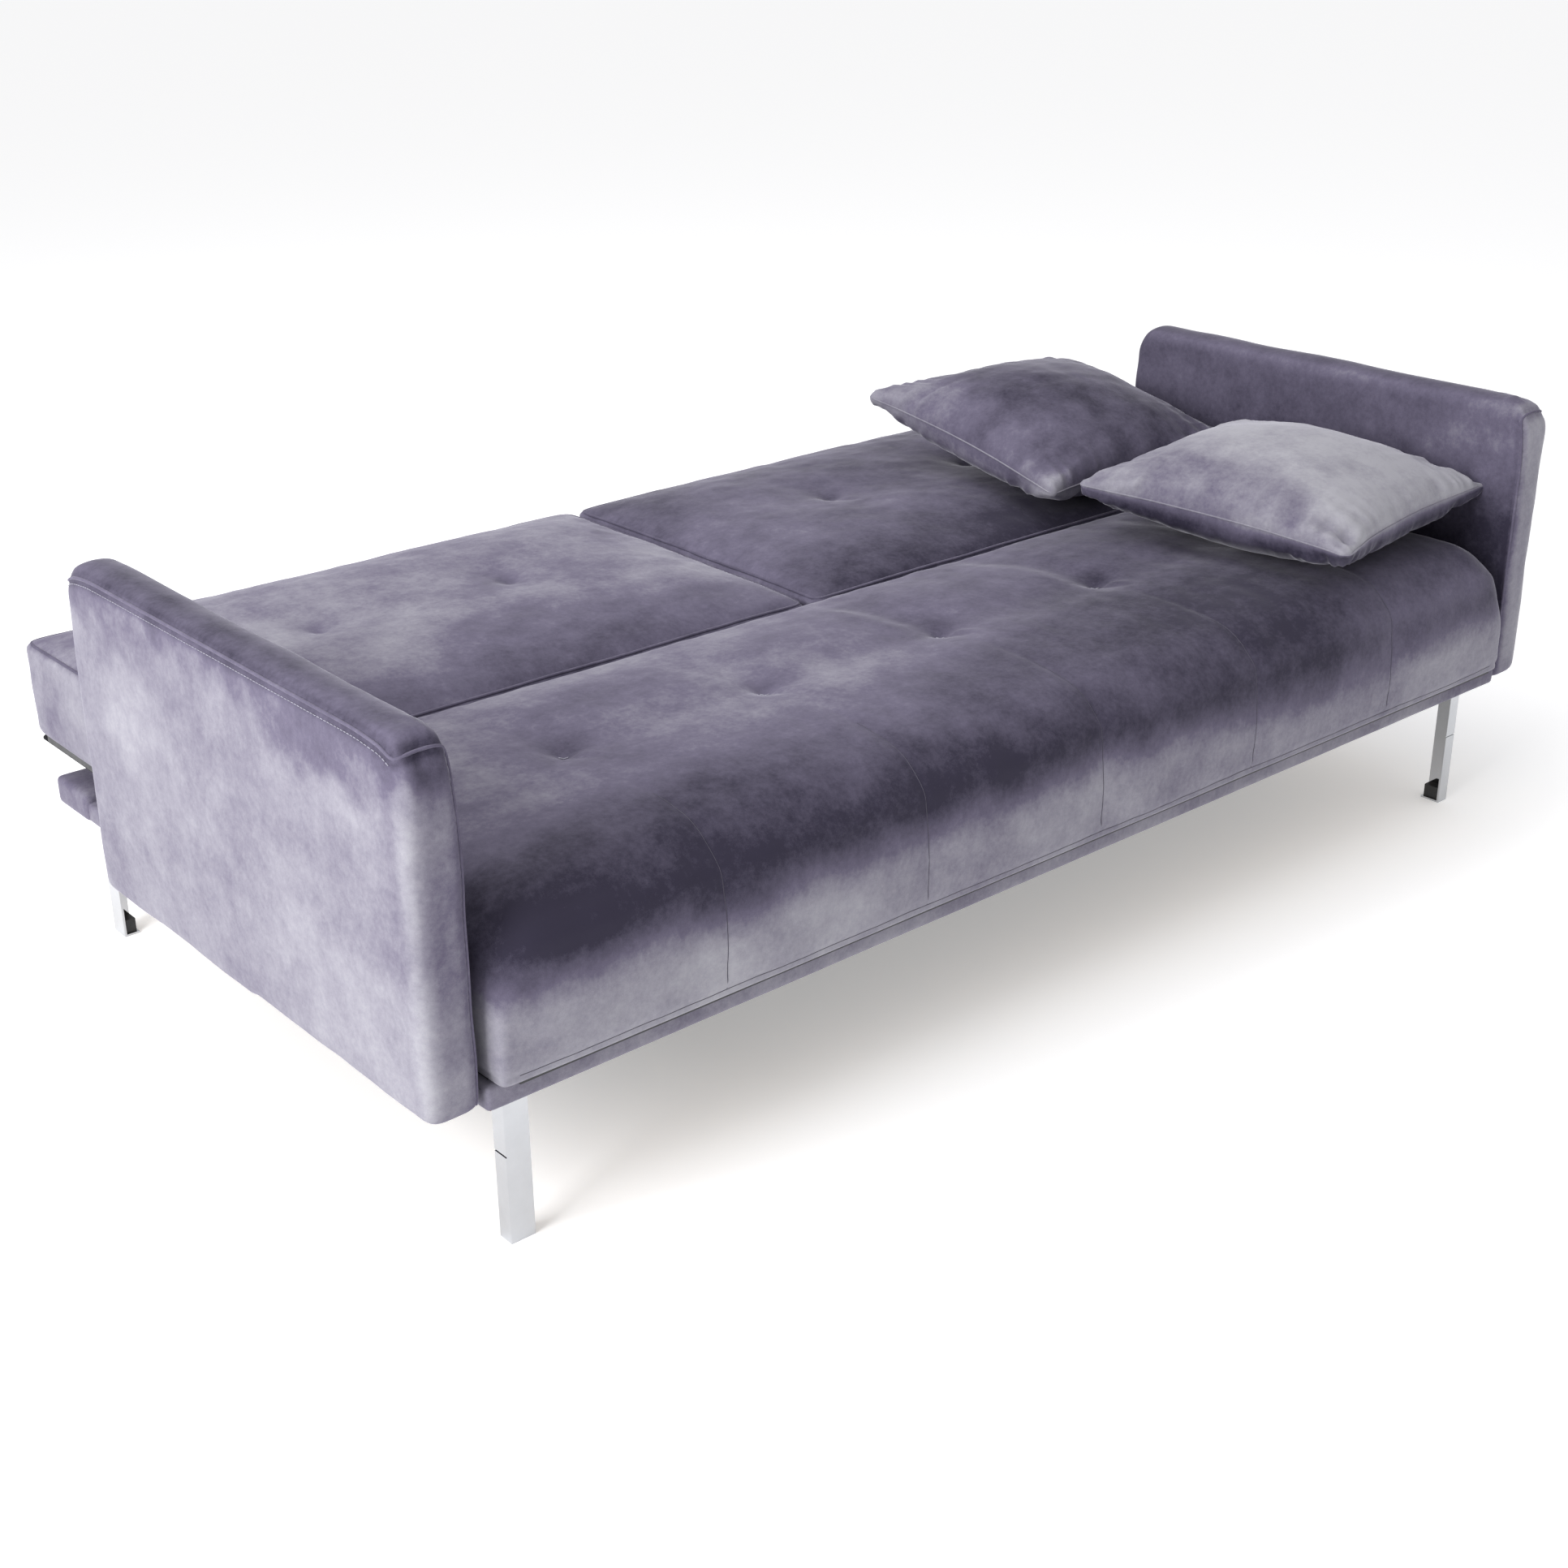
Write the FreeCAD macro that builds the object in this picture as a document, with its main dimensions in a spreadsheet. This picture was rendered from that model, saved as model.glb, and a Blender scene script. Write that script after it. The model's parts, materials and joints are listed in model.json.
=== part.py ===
"""Futon sofa bed with a split backrest, modelled flat as a bed.

Millimetres. +X runs along the length, +Y from the front edge to the rear, +Z up.
The origin is on the floor, under the middle of the whole object.
Each size is a cell of the Dimensions sheet, and each sub-part is bound to those cells.
"""
import FreeCAD, Part
import os

import Sketcher

doc = FreeCAD.newDocument("futon_sofa_bed")
sheet = doc.addObject("Spreadsheet::Sheet", "Dimensions")
nodes = {}
LEFT = -1
RIGHT = 1
SIDES = {"left": LEFT, "right": RIGHT}


def size(name, value):
    """Write one driving dimension in the sheet and return the text that refers to it."""
    row = sum(1 for cell in sheet.getUsedCells() if cell.startswith("A")) + 1
    sheet.set(f"A{row}", name)
    sheet.set(f"B{row}", str(value))
    sheet.setAlias(f"B{row}", name)
    doc.recompute()
    return f"Dimensions.{name}"


def number(expression):
    """The value that an expression of cells has now."""
    probe = doc.addObject("App::FeaturePython", "Probe")
    probe.addProperty("App::PropertyFloat", "Amount")
    probe.setExpression("Amount", expression)
    doc.recompute()
    amount = probe.Amount
    doc.removeObject(probe.Name)
    return amount


# Whole object
overall_length = size("overall_length", 2000)
leg_height = size("leg_height", 198)
seat_depth = size("seat_depth", 538)
crease_gap = size("crease_gap", 16)
back_depth = size("back_depth", 593)
base_depth = size("base_depth", 1049)
base_setback = size("base_setback", 16)

# Arms
arm_thickness = size("arm_thickness", 65)
arm_depth = size("arm_depth", 758)
arm_height = size("arm_height", 424)
arm_lift = size("arm_lift", 3)
arm_top_round = size("arm_top_round", 55)
arm_low_round = size("arm_low_round", 14)
arm_edge_round = size("arm_edge_round", 11)
arm_padding = size("arm_padding", 12)

# Base frame
rail_height = size("rail_height", 28)
rear_rail_extra = size("rear_rail_extra", 12)
rail_margin = size("rail_margin", 3)
cross_rail_width = size("cross_rail_width", 32)
cross_rail_pitch = size("cross_rail_pitch", 460)
lining_lap = size("lining_lap", 12)

# Cushions
cloth_wall = size("cloth_wall", 3)
lining_thickness = size("lining_thickness", 1)
seat_thickness = size("seat_thickness", 204)
back_thickness = size("back_thickness", 160)
seat_front_round = size("seat_front_round", 62)
seat_rear_round = size("seat_rear_round", 26)
seat_end_round = size("seat_end_round", 24)
back_edge_round = size("back_edge_round", 50)
back_rim_round = size("back_rim_round", 22)
back_end_round = size("back_end_round", 20)
tube_height = size("tube_height", 30)
tube_width = size("tube_width", 30)
tube_wall = size("tube_wall", 1.5)
tuft_pitch = size("tuft_pitch", 310)
seat_tuft_setback = size("seat_tuft_setback", 298)
back_tuft_setback = size("back_tuft_setback", 310)
button_radius = size("button_radius", 12)
button_thickness = size("button_thickness", 5)
tuft_depth = size("tuft_depth", 22)
spring_wire = size("spring_wire", 1.8)
spring_swing = size("spring_swing", 26)
spring_pitch = size("spring_pitch", 170)

# Click-clack mechanism
pivot_inset = size("pivot_inset", 58)
pin_radius = size("pin_radius", 5)
pin_clearance = size("pin_clearance", 0.05)
plate_thickness = size("plate_thickness", 3)
plate_gap = size("plate_gap", 1)
leaf_clearance = size("leaf_clearance", 4)
ratchet_radius = size("ratchet_radius", 34)
notch_width = size("notch_width", 5.6)
notch_depth = size("notch_depth", 6)
notch_step = size("notch_step", 15)
NOTCHES = 6
pawl_reach = size("pawl_reach", 50)
pawl_pin_radius = size("pawl_pin_radius", 3)
centre_plate_thickness = size("centre_plate_thickness", 4)
centre_leaf_thickness = size("centre_leaf_thickness", 2.5)
centre_leaf_radius = size("centre_leaf_radius", 13)
centre_cloth_gap = size("centre_cloth_gap", 0.5)
bolt_radius = size("bolt_radius", 4)
bolt_clearance = size("bolt_clearance", 0.2)
bolt_grip = size("bolt_grip", 26)
leaf_bolt_pitch = size("leaf_bolt_pitch", 45)
rest_pad_radius = size("rest_pad_radius", 15)
rest_clearance = size("rest_clearance", 0.3)

# Legs
leg_end_inset = size("leg_end_inset", 107)
leg_front_inset = size("leg_front_inset", 30)
leg_plate = size("leg_plate", 3)
leg_narrow_face = size("leg_narrow_face", 22)
leg_wide_face = size("leg_wide_face", 32)
leg_flare = size("leg_flare", 26)
leg_groove_drop = size("leg_groove_drop", 84)
leg_groove_width = size("leg_groove_width", 2.4)
leg_groove_depth = size("leg_groove_depth", 1)
leg_pad = size("leg_pad", 52)
glide_height = size("glide_height", 20)
glide_inset = size("glide_inset", 3)
screw_radius = size("screw_radius", 2.5)
screw_length = size("screw_length", 20)

# Scatter pillows
pillow_side = size("pillow_side", 430)
pillow_thickness = size("pillow_thickness", 122)
pillow_rest_gap = size("pillow_rest_gap", 0.5)
front_pillow_x = size("front_pillow_x", 690)
front_pillow_setback = size("front_pillow_setback", 262)
front_pillow_turn = size("front_pillow_turn", 8)
front_pillow_tilt = size("front_pillow_tilt", 2.5)
rear_pillow_x = size("rear_pillow_x", 702)
pillow_spacing = size("pillow_spacing", 48)
rear_pillow_turn = size("rear_pillow_turn", -3)
rear_pillow_tilt = size("rear_pillow_tilt", 9)

# Places that follow from those sizes
seat_front = f"(-({seat_depth} + {crease_gap} + {back_depth}) / 2)"
seat_rear = f"({seat_front} + {seat_depth})"
back_front = f"({seat_rear} + {crease_gap})"
back_rear = f"({back_front} + {back_depth})"
base_front = f"({seat_front} + {base_setback})"
base_rear = f"({base_front} + {base_depth})"
arm_inner = f"({overall_length} / 2 - {arm_thickness})"
end_plate_outer = f"({arm_inner} - {leaf_clearance})"
end_plate_inner = f"({end_plate_outer} - {plate_thickness})"
leaf_outer = f"({end_plate_inner} - {plate_gap})"
leaf_inner = f"({leaf_outer} - {plate_thickness})"
cushion_end = f"({leaf_inner} - {leaf_clearance})"
border_outer = end_plate_inner
rail_end = f"({border_outer} - {cloth_wall})"
rail_front = f"({base_front} + {cloth_wall})"
rail_rear = f"({base_rear} - {cloth_wall})"
rail_width = f"({leg_front_inset} + {leg_pad} + {rail_margin} - {cloth_wall})"
rail_top = f"({leg_height} + {rail_height})"
rear_rail_top = f"({rail_top} + {rear_rail_extra})"
seat_bottom = rail_top
seat_top = f"({seat_bottom} + {seat_thickness})"
back_top = seat_top
back_bottom = f"({back_top} - {back_thickness})"
arm_bottom = f"({leg_height} + {arm_lift})"
arm_top = f"({arm_bottom} + {arm_height})"
pivot_y = f"({back_front} + {pivot_inset})"
pivot_z = f"({back_top} - {pivot_inset})"
centre_leaf_inner = f"({centre_plate_thickness} / 2 + {plate_gap})"
centre_leaf_outer = f"({centre_leaf_inner} + {centre_leaf_thickness})"
split_half = f"({centre_leaf_outer} + {centre_cloth_gap})"
base_bolt_z = f"({leg_height} + {rail_height} / 2)"
leaf_bolt_z = f"({back_bottom} + {tube_height} / 2)"
leaf_bolt_y = f"({pivot_y} + 2 * {ratchet_radius})"


def place(piece, x="0", y="0", z="0", turn=None):
    """Bind a piece's position to expressions, after an optional turn."""
    if turn is not None:
        piece.Placement = FreeCAD.Placement(FreeCAD.Vector(), turn)
    piece.setExpression("Placement.Base.x", x)
    piece.setExpression("Placement.Base.y", y)
    piece.setExpression("Placement.Base.z", z)
    return piece


def node(label, piece):
    """Name a finished sub-part; its label is also its file's name."""
    piece.Label = label
    nodes[label] = piece
    return piece


def mirrored(side, low, high):
    """A span along X on the left or the right side of the middle."""
    if side == RIGHT:
        return low, high
    return f"(-{high})", f"(-{low})"


def box(name, x, y, z):
    """A plain block between pairs of expressions."""
    piece = doc.addObject("Part::Box", name)
    piece.setExpression("Length", f"{x[1]} - {x[0]}")
    piece.setExpression("Width", f"{y[1]} - {y[0]}")
    piece.setExpression("Height", f"{z[1]} - {z[0]}")
    return place(piece, x[0], y[0], z[0])


TURN_TO_AXIS = {
    "X": FreeCAD.Rotation(FreeCAD.Vector(0, 1, 0), 90),
    "Z": FreeCAD.Rotation(),
}


def rod(name, axis, start, length, radius):
    """A round bar from a start point along X or Z."""
    piece = doc.addObject("Part::Cylinder", name)
    piece.setExpression("Radius", radius)
    piece.setExpression("Height", length)
    return place(piece, *start, turn=TURN_TO_AXIS[axis])


def group(name, pieces):
    """Several separate solids as one sub-part."""
    piece = doc.addObject("Part::Compound", name)
    piece.Links = pieces
    return piece


def cut(name, base, tool):
    piece = doc.addObject("Part::Cut", name)
    piece.Base = base
    piece.Tool = tool
    return piece


def fuse(name, pieces):
    piece = doc.addObject("Part::MultiFuse", name)
    piece.Shapes = pieces
    return piece


def origin_plane(body, role):
    return [plane for plane in body.Origin.OriginFeatures if plane.Role == role][0]


def round_edges(body, feature, radius, wanted):
    """Fillet the edges of a feature that the test picks out."""
    doc.recompute()
    names = []
    for index, edge in enumerate(feature.Shape.Edges, start=1):
        if wanted(edge.BoundBox, feature.Shape.BoundBox):
            names.append(f"Edge{index}")
    fillet = body.newObject("PartDesign::Fillet", "Round")
    fillet.Base = (feature, names)
    fillet.setExpression("Radius", radius)
    body.Tip = fillet
    doc.recompute()
    return fillet


def near(first, second):
    return abs(first - second) < 0.01


def runs_along_x(edge):
    return edge.XLength > 1 and edge.YLength < 0.01 and edge.ZLength < 0.01


def block_body(name, x, y, z):
    """A body that starts as a block between pairs of expressions."""
    body = doc.addObject("PartDesign::Body", name)
    block = body.newObject("PartDesign::AdditiveBox", "Block")
    block.setExpression("Length", f"{x[1]} - {x[0]}")
    block.setExpression("Width", f"{y[1]} - {y[0]}")
    block.setExpression("Height", f"{z[1]} - {z[0]}")
    body.Tip = block
    place(body, x[0], y[0], z[0])
    return body, block


def outline_sketch(body, plane_role, points, circles=(), offset=None):
    """A closed outline of straight sides, with round holes, bound point by point."""
    sketch = body.newObject("Sketcher::SketchObject", "Outline")
    sketch.AttachmentSupport = (origin_plane(body, plane_role), [""])
    sketch.MapMode = "FlatFace"
    if offset is not None:
        sketch.setExpression("AttachmentOffset.Base.z", offset)
    values = [FreeCAD.Vector(number(x), number(y), 0) for x, y in points]
    for index, start in enumerate(values):
        end = values[(index + 1) % len(values)]
        sketch.addGeometry(Part.LineSegment(start, end), False)
    for index in range(len(values)):
        following = (index + 1) % len(values)
        sketch.addConstraint(Sketcher.Constraint("Coincident", index, 2, following, 1))
    for index, (x, y) in enumerate(points):
        for kind, expression in (("DistanceX", x), ("DistanceY", y)):
            rule = Sketcher.Constraint(kind, -1, 1, index, 1, number(expression))
            place_of_rule = sketch.addConstraint(rule)
            sketch.setExpression(f"Constraints[{place_of_rule}]", expression)
    for x, y, radius in circles:
        centre = FreeCAD.Vector(number(x), number(y), 0)
        ring = Part.Circle(centre, FreeCAD.Vector(0, 0, 1), number(radius))
        index = sketch.addGeometry(ring, False)
        rules = (
            (Sketcher.Constraint("DistanceX", -1, 1, index, 3, centre.x), x),
            (Sketcher.Constraint("DistanceY", -1, 1, index, 3, centre.y), y),
            (Sketcher.Constraint("Radius", index, number(radius)), radius),
        )
        for rule, expression in rules:
            place_of_rule = sketch.addConstraint(rule)
            sketch.setExpression(f"Constraints[{place_of_rule}]", expression)
    return sketch


def plate_body(name, x, thickness, points, circles=()):
    """A flat plate across X: an outline in Y and Z, padded along +X."""
    body = doc.addObject("PartDesign::Body", name)
    sketch = outline_sketch(body, "YZ_Plane", points, circles)
    pad = body.newObject("PartDesign::Pad", "Plate")
    pad.Profile = sketch
    pad.setExpression("Length", thickness)
    body.Tip = pad
    place(body, x)
    return body


# Base frame


def base_frame():
    across = (f"(-{rail_end})", rail_end)
    front_inner = f"({rail_front} + {rail_width})"
    rear_inner = f"({rail_rear} - {rail_width})"
    low = (leg_height, rail_top)
    front = box("FrontRail", across, (rail_front, front_inner), low)
    rear = box("RearRail", across, (rear_inner, rail_rear), (leg_height, rear_rail_top))
    node("front_rail", front)
    node("rear_rail", rear)
    for name, side in SIDES.items():
        span = mirrored(side, f"({rail_end} - {rail_width})", rail_end)
        rail = box(f"{name}Rail", span, (front_inner, rear_inner), low)
        holes = bolt_rods(side, "RailHole", base_bolt_places(), bolt_hole_radius())
        node(f"{name}_side_rail", cut(f"{name}SideRail", rail, group("RailHoles", holes)))
    rails = []
    centre_edge = f"(-{centre_plate_thickness} / 2)"
    lows = (
        f"(-{cross_rail_pitch} - {cross_rail_width} / 2)",
        f"({centre_edge} - {cross_rail_width})",
        f"({cross_rail_pitch} - {cross_rail_width} / 2)",
    )
    for start in lows:
        span = (start, f"({start} + {cross_rail_width})")
        rails.append(box("CrossRail", span, (front_inner, rear_inner), low))
    node("cross_rails", group("CrossRails", rails))
    strips = [
        box("FrontStrip", across, (base_front, rail_front), low),
        box("RearStrip", across, (rail_rear, base_rear), (leg_height, rear_rail_top)),
    ]
    for side in SIDES.values():
        span = mirrored(side, rail_end, border_outer)
        strip = box("SideStrip", span, (base_front, base_rear), low)
        holes = bolt_rods(side, "StripHole", base_bolt_places(), bolt_hole_radius())
        strips.append(cut("DrilledStrip", strip, group("StripHoles", holes)))
    node("base_border_cover", group("BaseBorderCover", strips))
    lining_x = f"({rail_end} - {rail_width} + {lining_lap})"
    past_legs = f"({leg_front_inset} + {leg_pad} + 1)"
    lining_y = (f"({base_front} + {past_legs})", f"({base_rear} - {past_legs})")
    lining_z = (f"({leg_height} - {lining_thickness})", leg_height)
    node("base_lining", box("BaseLining", (f"(-{lining_x})", lining_x), lining_y, lining_z))


def arm_bolt_places():
    """Three bolts hold each arm, clear of the hinge plate."""
    shares = (0.16, 0.5, 0.93)
    return [(f"({base_front} + {share} * {arm_depth})", base_bolt_z) for share in shares]


def plate_bolt_places():
    """Two bolts hold each hinge plate to its side rail."""
    offsets = (f"({pivot_y} - {ratchet_radius} / 2)", f"({pivot_y} + {ratchet_radius} / 2)")
    return [(y, base_bolt_z) for y in offsets]


def base_bolt_places():
    return arm_bolt_places() + plate_bolt_places()


def leaf_bolt_places():
    """Two bolts hold each folding leaf to the end tube of its half."""
    return [(leaf_bolt_y, leaf_bolt_z), (f"({leaf_bolt_y} + {leaf_bolt_pitch})", leaf_bolt_z)]


def bolt_hole_radius():
    return f"({bolt_radius} + {bolt_clearance})"


def bolt_rods(side, name, places, radius, span=None):
    """Bars along X at the given places, across one end of the object."""
    into_arm = (f"({rail_end} - {bolt_grip})", f"({arm_inner} + {bolt_grip} + {arm_padding})")
    low, high = span or into_arm
    start, end = mirrored(side, low, high)
    return [rod(name, "X", (start, y, z), f"{end} - {start}", radius) for y, z in places]


def spacer(x, y, z):
    """A ring between the base and the arm, round one bolt."""
    start = (x[0], y, z)
    length = f"{x[1]} - {x[0]}"
    ring = rod("Spacer", "X", start, length, f"(2.2 * {bolt_radius})")
    bore = rod("SpacerBore", "X", start, length, bolt_hole_radius())
    return cut("SpacerRing", ring, bore)


def fasteners():
    """The bolts and spacers that hold the arms, the hinge plates and the folding leaves."""
    arm_bolts = []
    spacers = []
    plate_bolts = []
    plate_span = (f"({rail_end} - {bolt_grip})", end_plate_outer)
    end_leaf_span = (f"({cushion_end} - {bolt_grip})", leaf_outer)
    middle_leaf_span = (centre_leaf_inner, f"({split_half} + {bolt_grip})")
    for name, side in SIDES.items():
        arm_bolts += bolt_rods(side, "ArmBolt", arm_bolt_places(), bolt_radius)
        gap = mirrored(side, border_outer, arm_inner)
        spacers += [spacer(gap, y, z) for y, z in arm_bolt_places()]
        plate_bolts += bolt_rods(side, "PlateBolt", plate_bolt_places(), bolt_radius, plate_span)
        leaf_bolts = []
        for span in (end_leaf_span, middle_leaf_span):
            leaf_bolts += bolt_rods(side, "LeafBolt", leaf_bolt_places(), bolt_radius, span)
        node(f"{name}_back_bolts", group(f"{name}BackBolts", leaf_bolts))
    node("arm_bolts", group("ArmBolts", arm_bolts))
    node("arm_spacers", group("ArmSpacers", spacers))
    node("hinge_plate_bolts", group("HingePlateBolts", plate_bolts))


# Legs


def leg(name, quarter_turns, x, y):
    """One leg: an L of plate with a flared web, a groove, a pad and a foot."""
    narrow = box("Narrow", ("0", leg_plate), ("0", leg_narrow_face), ("0", leg_height))
    wide = box("Wide", ("0", leg_wide_face), ("0", leg_plate), ("0", leg_height))
    flare_end = f"({leg_wide_face} + {leg_flare} - {leg_plate})"
    flare_low = f"({leg_height} - {leg_flare})"
    flare = box("Flare", (leg_wide_face, flare_end), ("0", leg_plate), (flare_low, leg_height))
    hollow = doc.addObject("Part::Cylinder", "Hollow")
    hollow.setExpression("Radius", f"{leg_flare} - {leg_plate}")
    hollow.setExpression("Height", f"3 * {leg_plate}")
    upright = FreeCAD.Rotation(FreeCAD.Vector(1, 0, 0), 90)
    place(hollow, flare_end, f"(2 * {leg_plate})", flare_low, turn=upright)
    web = cut("Web", flare, hollow)
    pad_low = f"({leg_height} - {leg_plate})"
    pad = box("Pad", ("0", leg_pad), ("0", leg_pad), (pad_low, leg_height))
    foot = box("Foot", ("0", leg_wide_face), ("0", leg_narrow_face), ("0", leg_plate))
    whole = fuse("Whole", [narrow, wide, web, pad, foot])
    groove_top = f"({leg_height} - {leg_groove_drop})"
    groove = box(
        "Groove",
        (f"(-{leg_groove_depth})", leg_groove_depth),
        ("-1", f"({leg_narrow_face} + 1)"),
        (f"({groove_top} - {leg_groove_width})", groove_top),
    )
    cutters = [groove]
    for place_x, place_y in leg_screw_places():
        start = (place_x, place_y, f"({leg_height} - 2 * {leg_plate})")
        cutters.append(rod("PadHole", "Z", start, f"3 * {leg_plate}", screw_hole_radius()))
    piece = cut(f"{name}Leg", whole, group("LegCutters", cutters))
    turn = FreeCAD.Rotation(FreeCAD.Vector(0, 0, 1), 90 * quarter_turns)
    return node(f"{name}_leg", place(piece, x, y, turn=turn))


def screw_hole_radius():
    return f"({screw_radius} + {bolt_clearance} / 2)"


def leg_screw_places():
    """Three screws through the pad, in the leg's own corner frame."""
    near_edge = f"({leg_plate} + 3 * {screw_radius})"
    far_edge = f"({leg_pad} - 3 * {screw_radius})"
    return [(near_edge, far_edge), (far_edge, near_edge), (far_edge, far_edge)]


def turned(quarter_turns, x, y):
    """A point of the leg's corner frame after some quarter turns."""
    for _ in range(quarter_turns):
        x, y = f"(-{y})", x
    return x, y


def legs():
    side_x = f"({overall_length} / 2 - {leg_end_inset})"
    front_y = f"({base_front} + {leg_front_inset})"
    rear_y = f"({base_rear} - {leg_front_inset})"
    corners = {
        "front_left": (0, f"(-{side_x})", front_y),
        "front_right": (1, side_x, front_y),
        "rear_right": (2, side_x, rear_y),
        "rear_left": (3, f"(-{side_x})", rear_y),
    }
    glides = []
    screws = []
    for name, (turns, x, y) in corners.items():
        leg(name, turns, x, y)
        glide_x = (leg_plate, f"({leg_wide_face} - {glide_inset})")
        glide_y = (leg_plate, f"({leg_narrow_face} - {glide_inset})")
        block = box("Glide", glide_x, glide_y, (leg_plate, f"({leg_plate} + {glide_height})"))
        holder = group("GlideCorner", [block])
        turn = FreeCAD.Rotation(FreeCAD.Vector(0, 0, 1), 90 * turns)
        glides.append(place(holder, x, y, turn=turn))
        for place_x, place_y in leg_screw_places():
            dx, dy = turned(turns, place_x, place_y)
            start = (f"({x} + {dx})", f"({y} + {dy})", f"({leg_height} - {leg_plate})")
            screws.append(rod("LegScrew", "Z", start, screw_length, screw_radius))
    node("leg_glides", group("LegGlides", glides))
    node("leg_screws", group("LegScrews", screws))
    return screws


# Arms


def arm_block(name, side, shrink, top_round, low_round, edge_round):
    """The arm's slab, made smaller all round by an amount."""
    span = mirrored(side, f"({arm_inner} + {shrink})", f"({overall_length} / 2 - {shrink})")
    depth = (f"({base_front} + {shrink})", f"({base_front} + {arm_depth} - {shrink})")
    height = (f"({arm_bottom} + {shrink})", f"({arm_top} - {shrink})")
    body, block = block_body(name, span, depth, height)
    upper = round_edges(body, block, top_round, lambda e, s: runs_along_x(e) and near(e.ZMax, s.ZMax))
    lower = round_edges(body, upper, low_round, lambda e, s: runs_along_x(e) and near(e.ZMin, s.ZMin))
    round_edges(body, lower, edge_round, on_an_end_face)
    return body


def on_an_end_face(edge, shape):
    flat = edge.XLength < 0.01
    return flat and (near(edge.XMin, shape.XMin) or near(edge.XMax, shape.XMax))


def arms():
    for name, side in SIDES.items():
        outer = arm_block(f"{name}ArmOuter", side, "0", arm_top_round, arm_low_round, arm_edge_round)
        inside = [
            arm_block(
                f"{name}ArmInside",
                side,
                cloth_wall,
                f"{arm_top_round} - {cloth_wall}",
                f"{arm_low_round} - {cloth_wall}",
                f"{arm_edge_round} - {cloth_wall}",
            )
            for _ in range(2)
        ]
        core_x = mirrored(
            side,
            f"({arm_inner} + {cloth_wall} + {arm_padding})",
            f"({overall_length} / 2 - {cloth_wall} - {arm_padding})",
        )
        core_inset = f"{arm_top_round} / 2"
        core_y = (f"({base_front} + {core_inset})", f"({base_front} + {arm_depth} - {core_inset})")
        core_z = (f"({arm_bottom} + {cloth_wall})", f"({arm_top} - {core_inset})")
        cores = [box("ArmCore", core_x, core_y, core_z) for _ in range(2)]
        holes = [
            group("ArmHoles", bolt_rods(side, "ArmHole", arm_bolt_places(), bolt_hole_radius()))
            for _ in range(3)
        ]
        cover = cut("ArmCoverShell", outer, inside[0])
        foam = cut("ArmFoamJacket", inside[1], cores[0])
        node(f"{name}_arm_cover", cut(f"{name}ArmCover", cover, holes[0]))
        node(f"{name}_arm_foam", cut(f"{name}ArmFoam", foam, holes[1]))
        node(f"{name}_arm_core", cut(f"{name}ArmCore", cores[1], holes[2]))


# Cushions


def cushion_block(name, x, y, z, shrink, rounds):
    """A cushion's slab. The rounds are for the top front edge, the top rear edge and the ends."""
    span = (f"({x[0]} + {shrink})", f"({x[1]} - {shrink})")
    depth = (f"({y[0]} + {shrink})", f"({y[1]} - {shrink})")
    body, block = block_body(name, span, depth, z)
    front, rear, ends = (f"({radius} - {shrink})" for radius in rounds)
    shaped = round_edges(body, block, front, lambda e, s: top_long_edge(e, s) and near(e.YMin, s.YMin))
    shaped = round_edges(body, shaped, rear, lambda e, s: top_long_edge(e, s) and near(e.YMax, s.YMax))
    round_edges(body, shaped, ends, lambda e, s: on_an_end_face(e, s) and not near(e.ZMax, s.ZMin))
    return body


def top_long_edge(edge, shape):
    return runs_along_x(edge) and near(edge.ZMin, shape.ZMax)


def tuft_rods(name, places, top, depth, radius, length):
    """Short upright bars at the tufts, starting a depth under the top."""
    return [rod(name, "Z", (x, y, f"({top} - {depth})"), length, radius) for x, y in places]


def spring_shape(x, y_start, y_end, z, wire, swing, bends):
    """One zigzag spring: straight runs across X joined by half circles."""
    step = (y_end - y_start) / bends
    radius = step / 2
    edges = []
    for index in range(bends):
        y = y_start + radius + index * step
        way = 1 if index % 2 == 0 else -1
        run_start = FreeCAD.Vector(x - way * swing, y, z)
        run_end = FreeCAD.Vector(x + way * swing, y, z)
        edges.append(Part.LineSegment(run_start, run_end).toShape())
        if index < bends - 1:
            top = FreeCAD.Vector(x + way * (swing + radius), y + radius, z)
            next_start = FreeCAD.Vector(x + way * swing, y + step, z)
            edges.append(Part.Arc(run_end, top, next_start).toShape())
    path = Part.Wire(edges)
    start = edges[0].Vertexes[0].Point
    ring = Part.Circle(start, FreeCAD.Vector(1, 0, 0), wire)
    profile = Part.Wire([ring.toShape()])
    return path.makePipeShell([profile], True, False)


def springs(name, x_low, x_high, y_low, y_high, z):
    """A row of zigzag springs across a frame's opening."""
    low, high = number(x_low), number(x_high)
    start, end = number(y_low), number(y_high)
    wire, swing, pitch = number(spring_wire), number(spring_swing), number(spring_pitch)
    count = max(1, int((high - low) // pitch))
    spacing = (high - low) / count
    bends = 2 * max(2, int((end - start) // (2 * swing)))
    shapes = []
    for index in range(count):
        x = low + (index + 0.5) * spacing
        shapes.append(spring_shape(x, start + wire, end - wire, number(z), wire, swing, bends))
    piece = doc.addObject("Part::Feature", name)
    piece.Shape = Part.makeCompound(shapes)
    return piece


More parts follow.
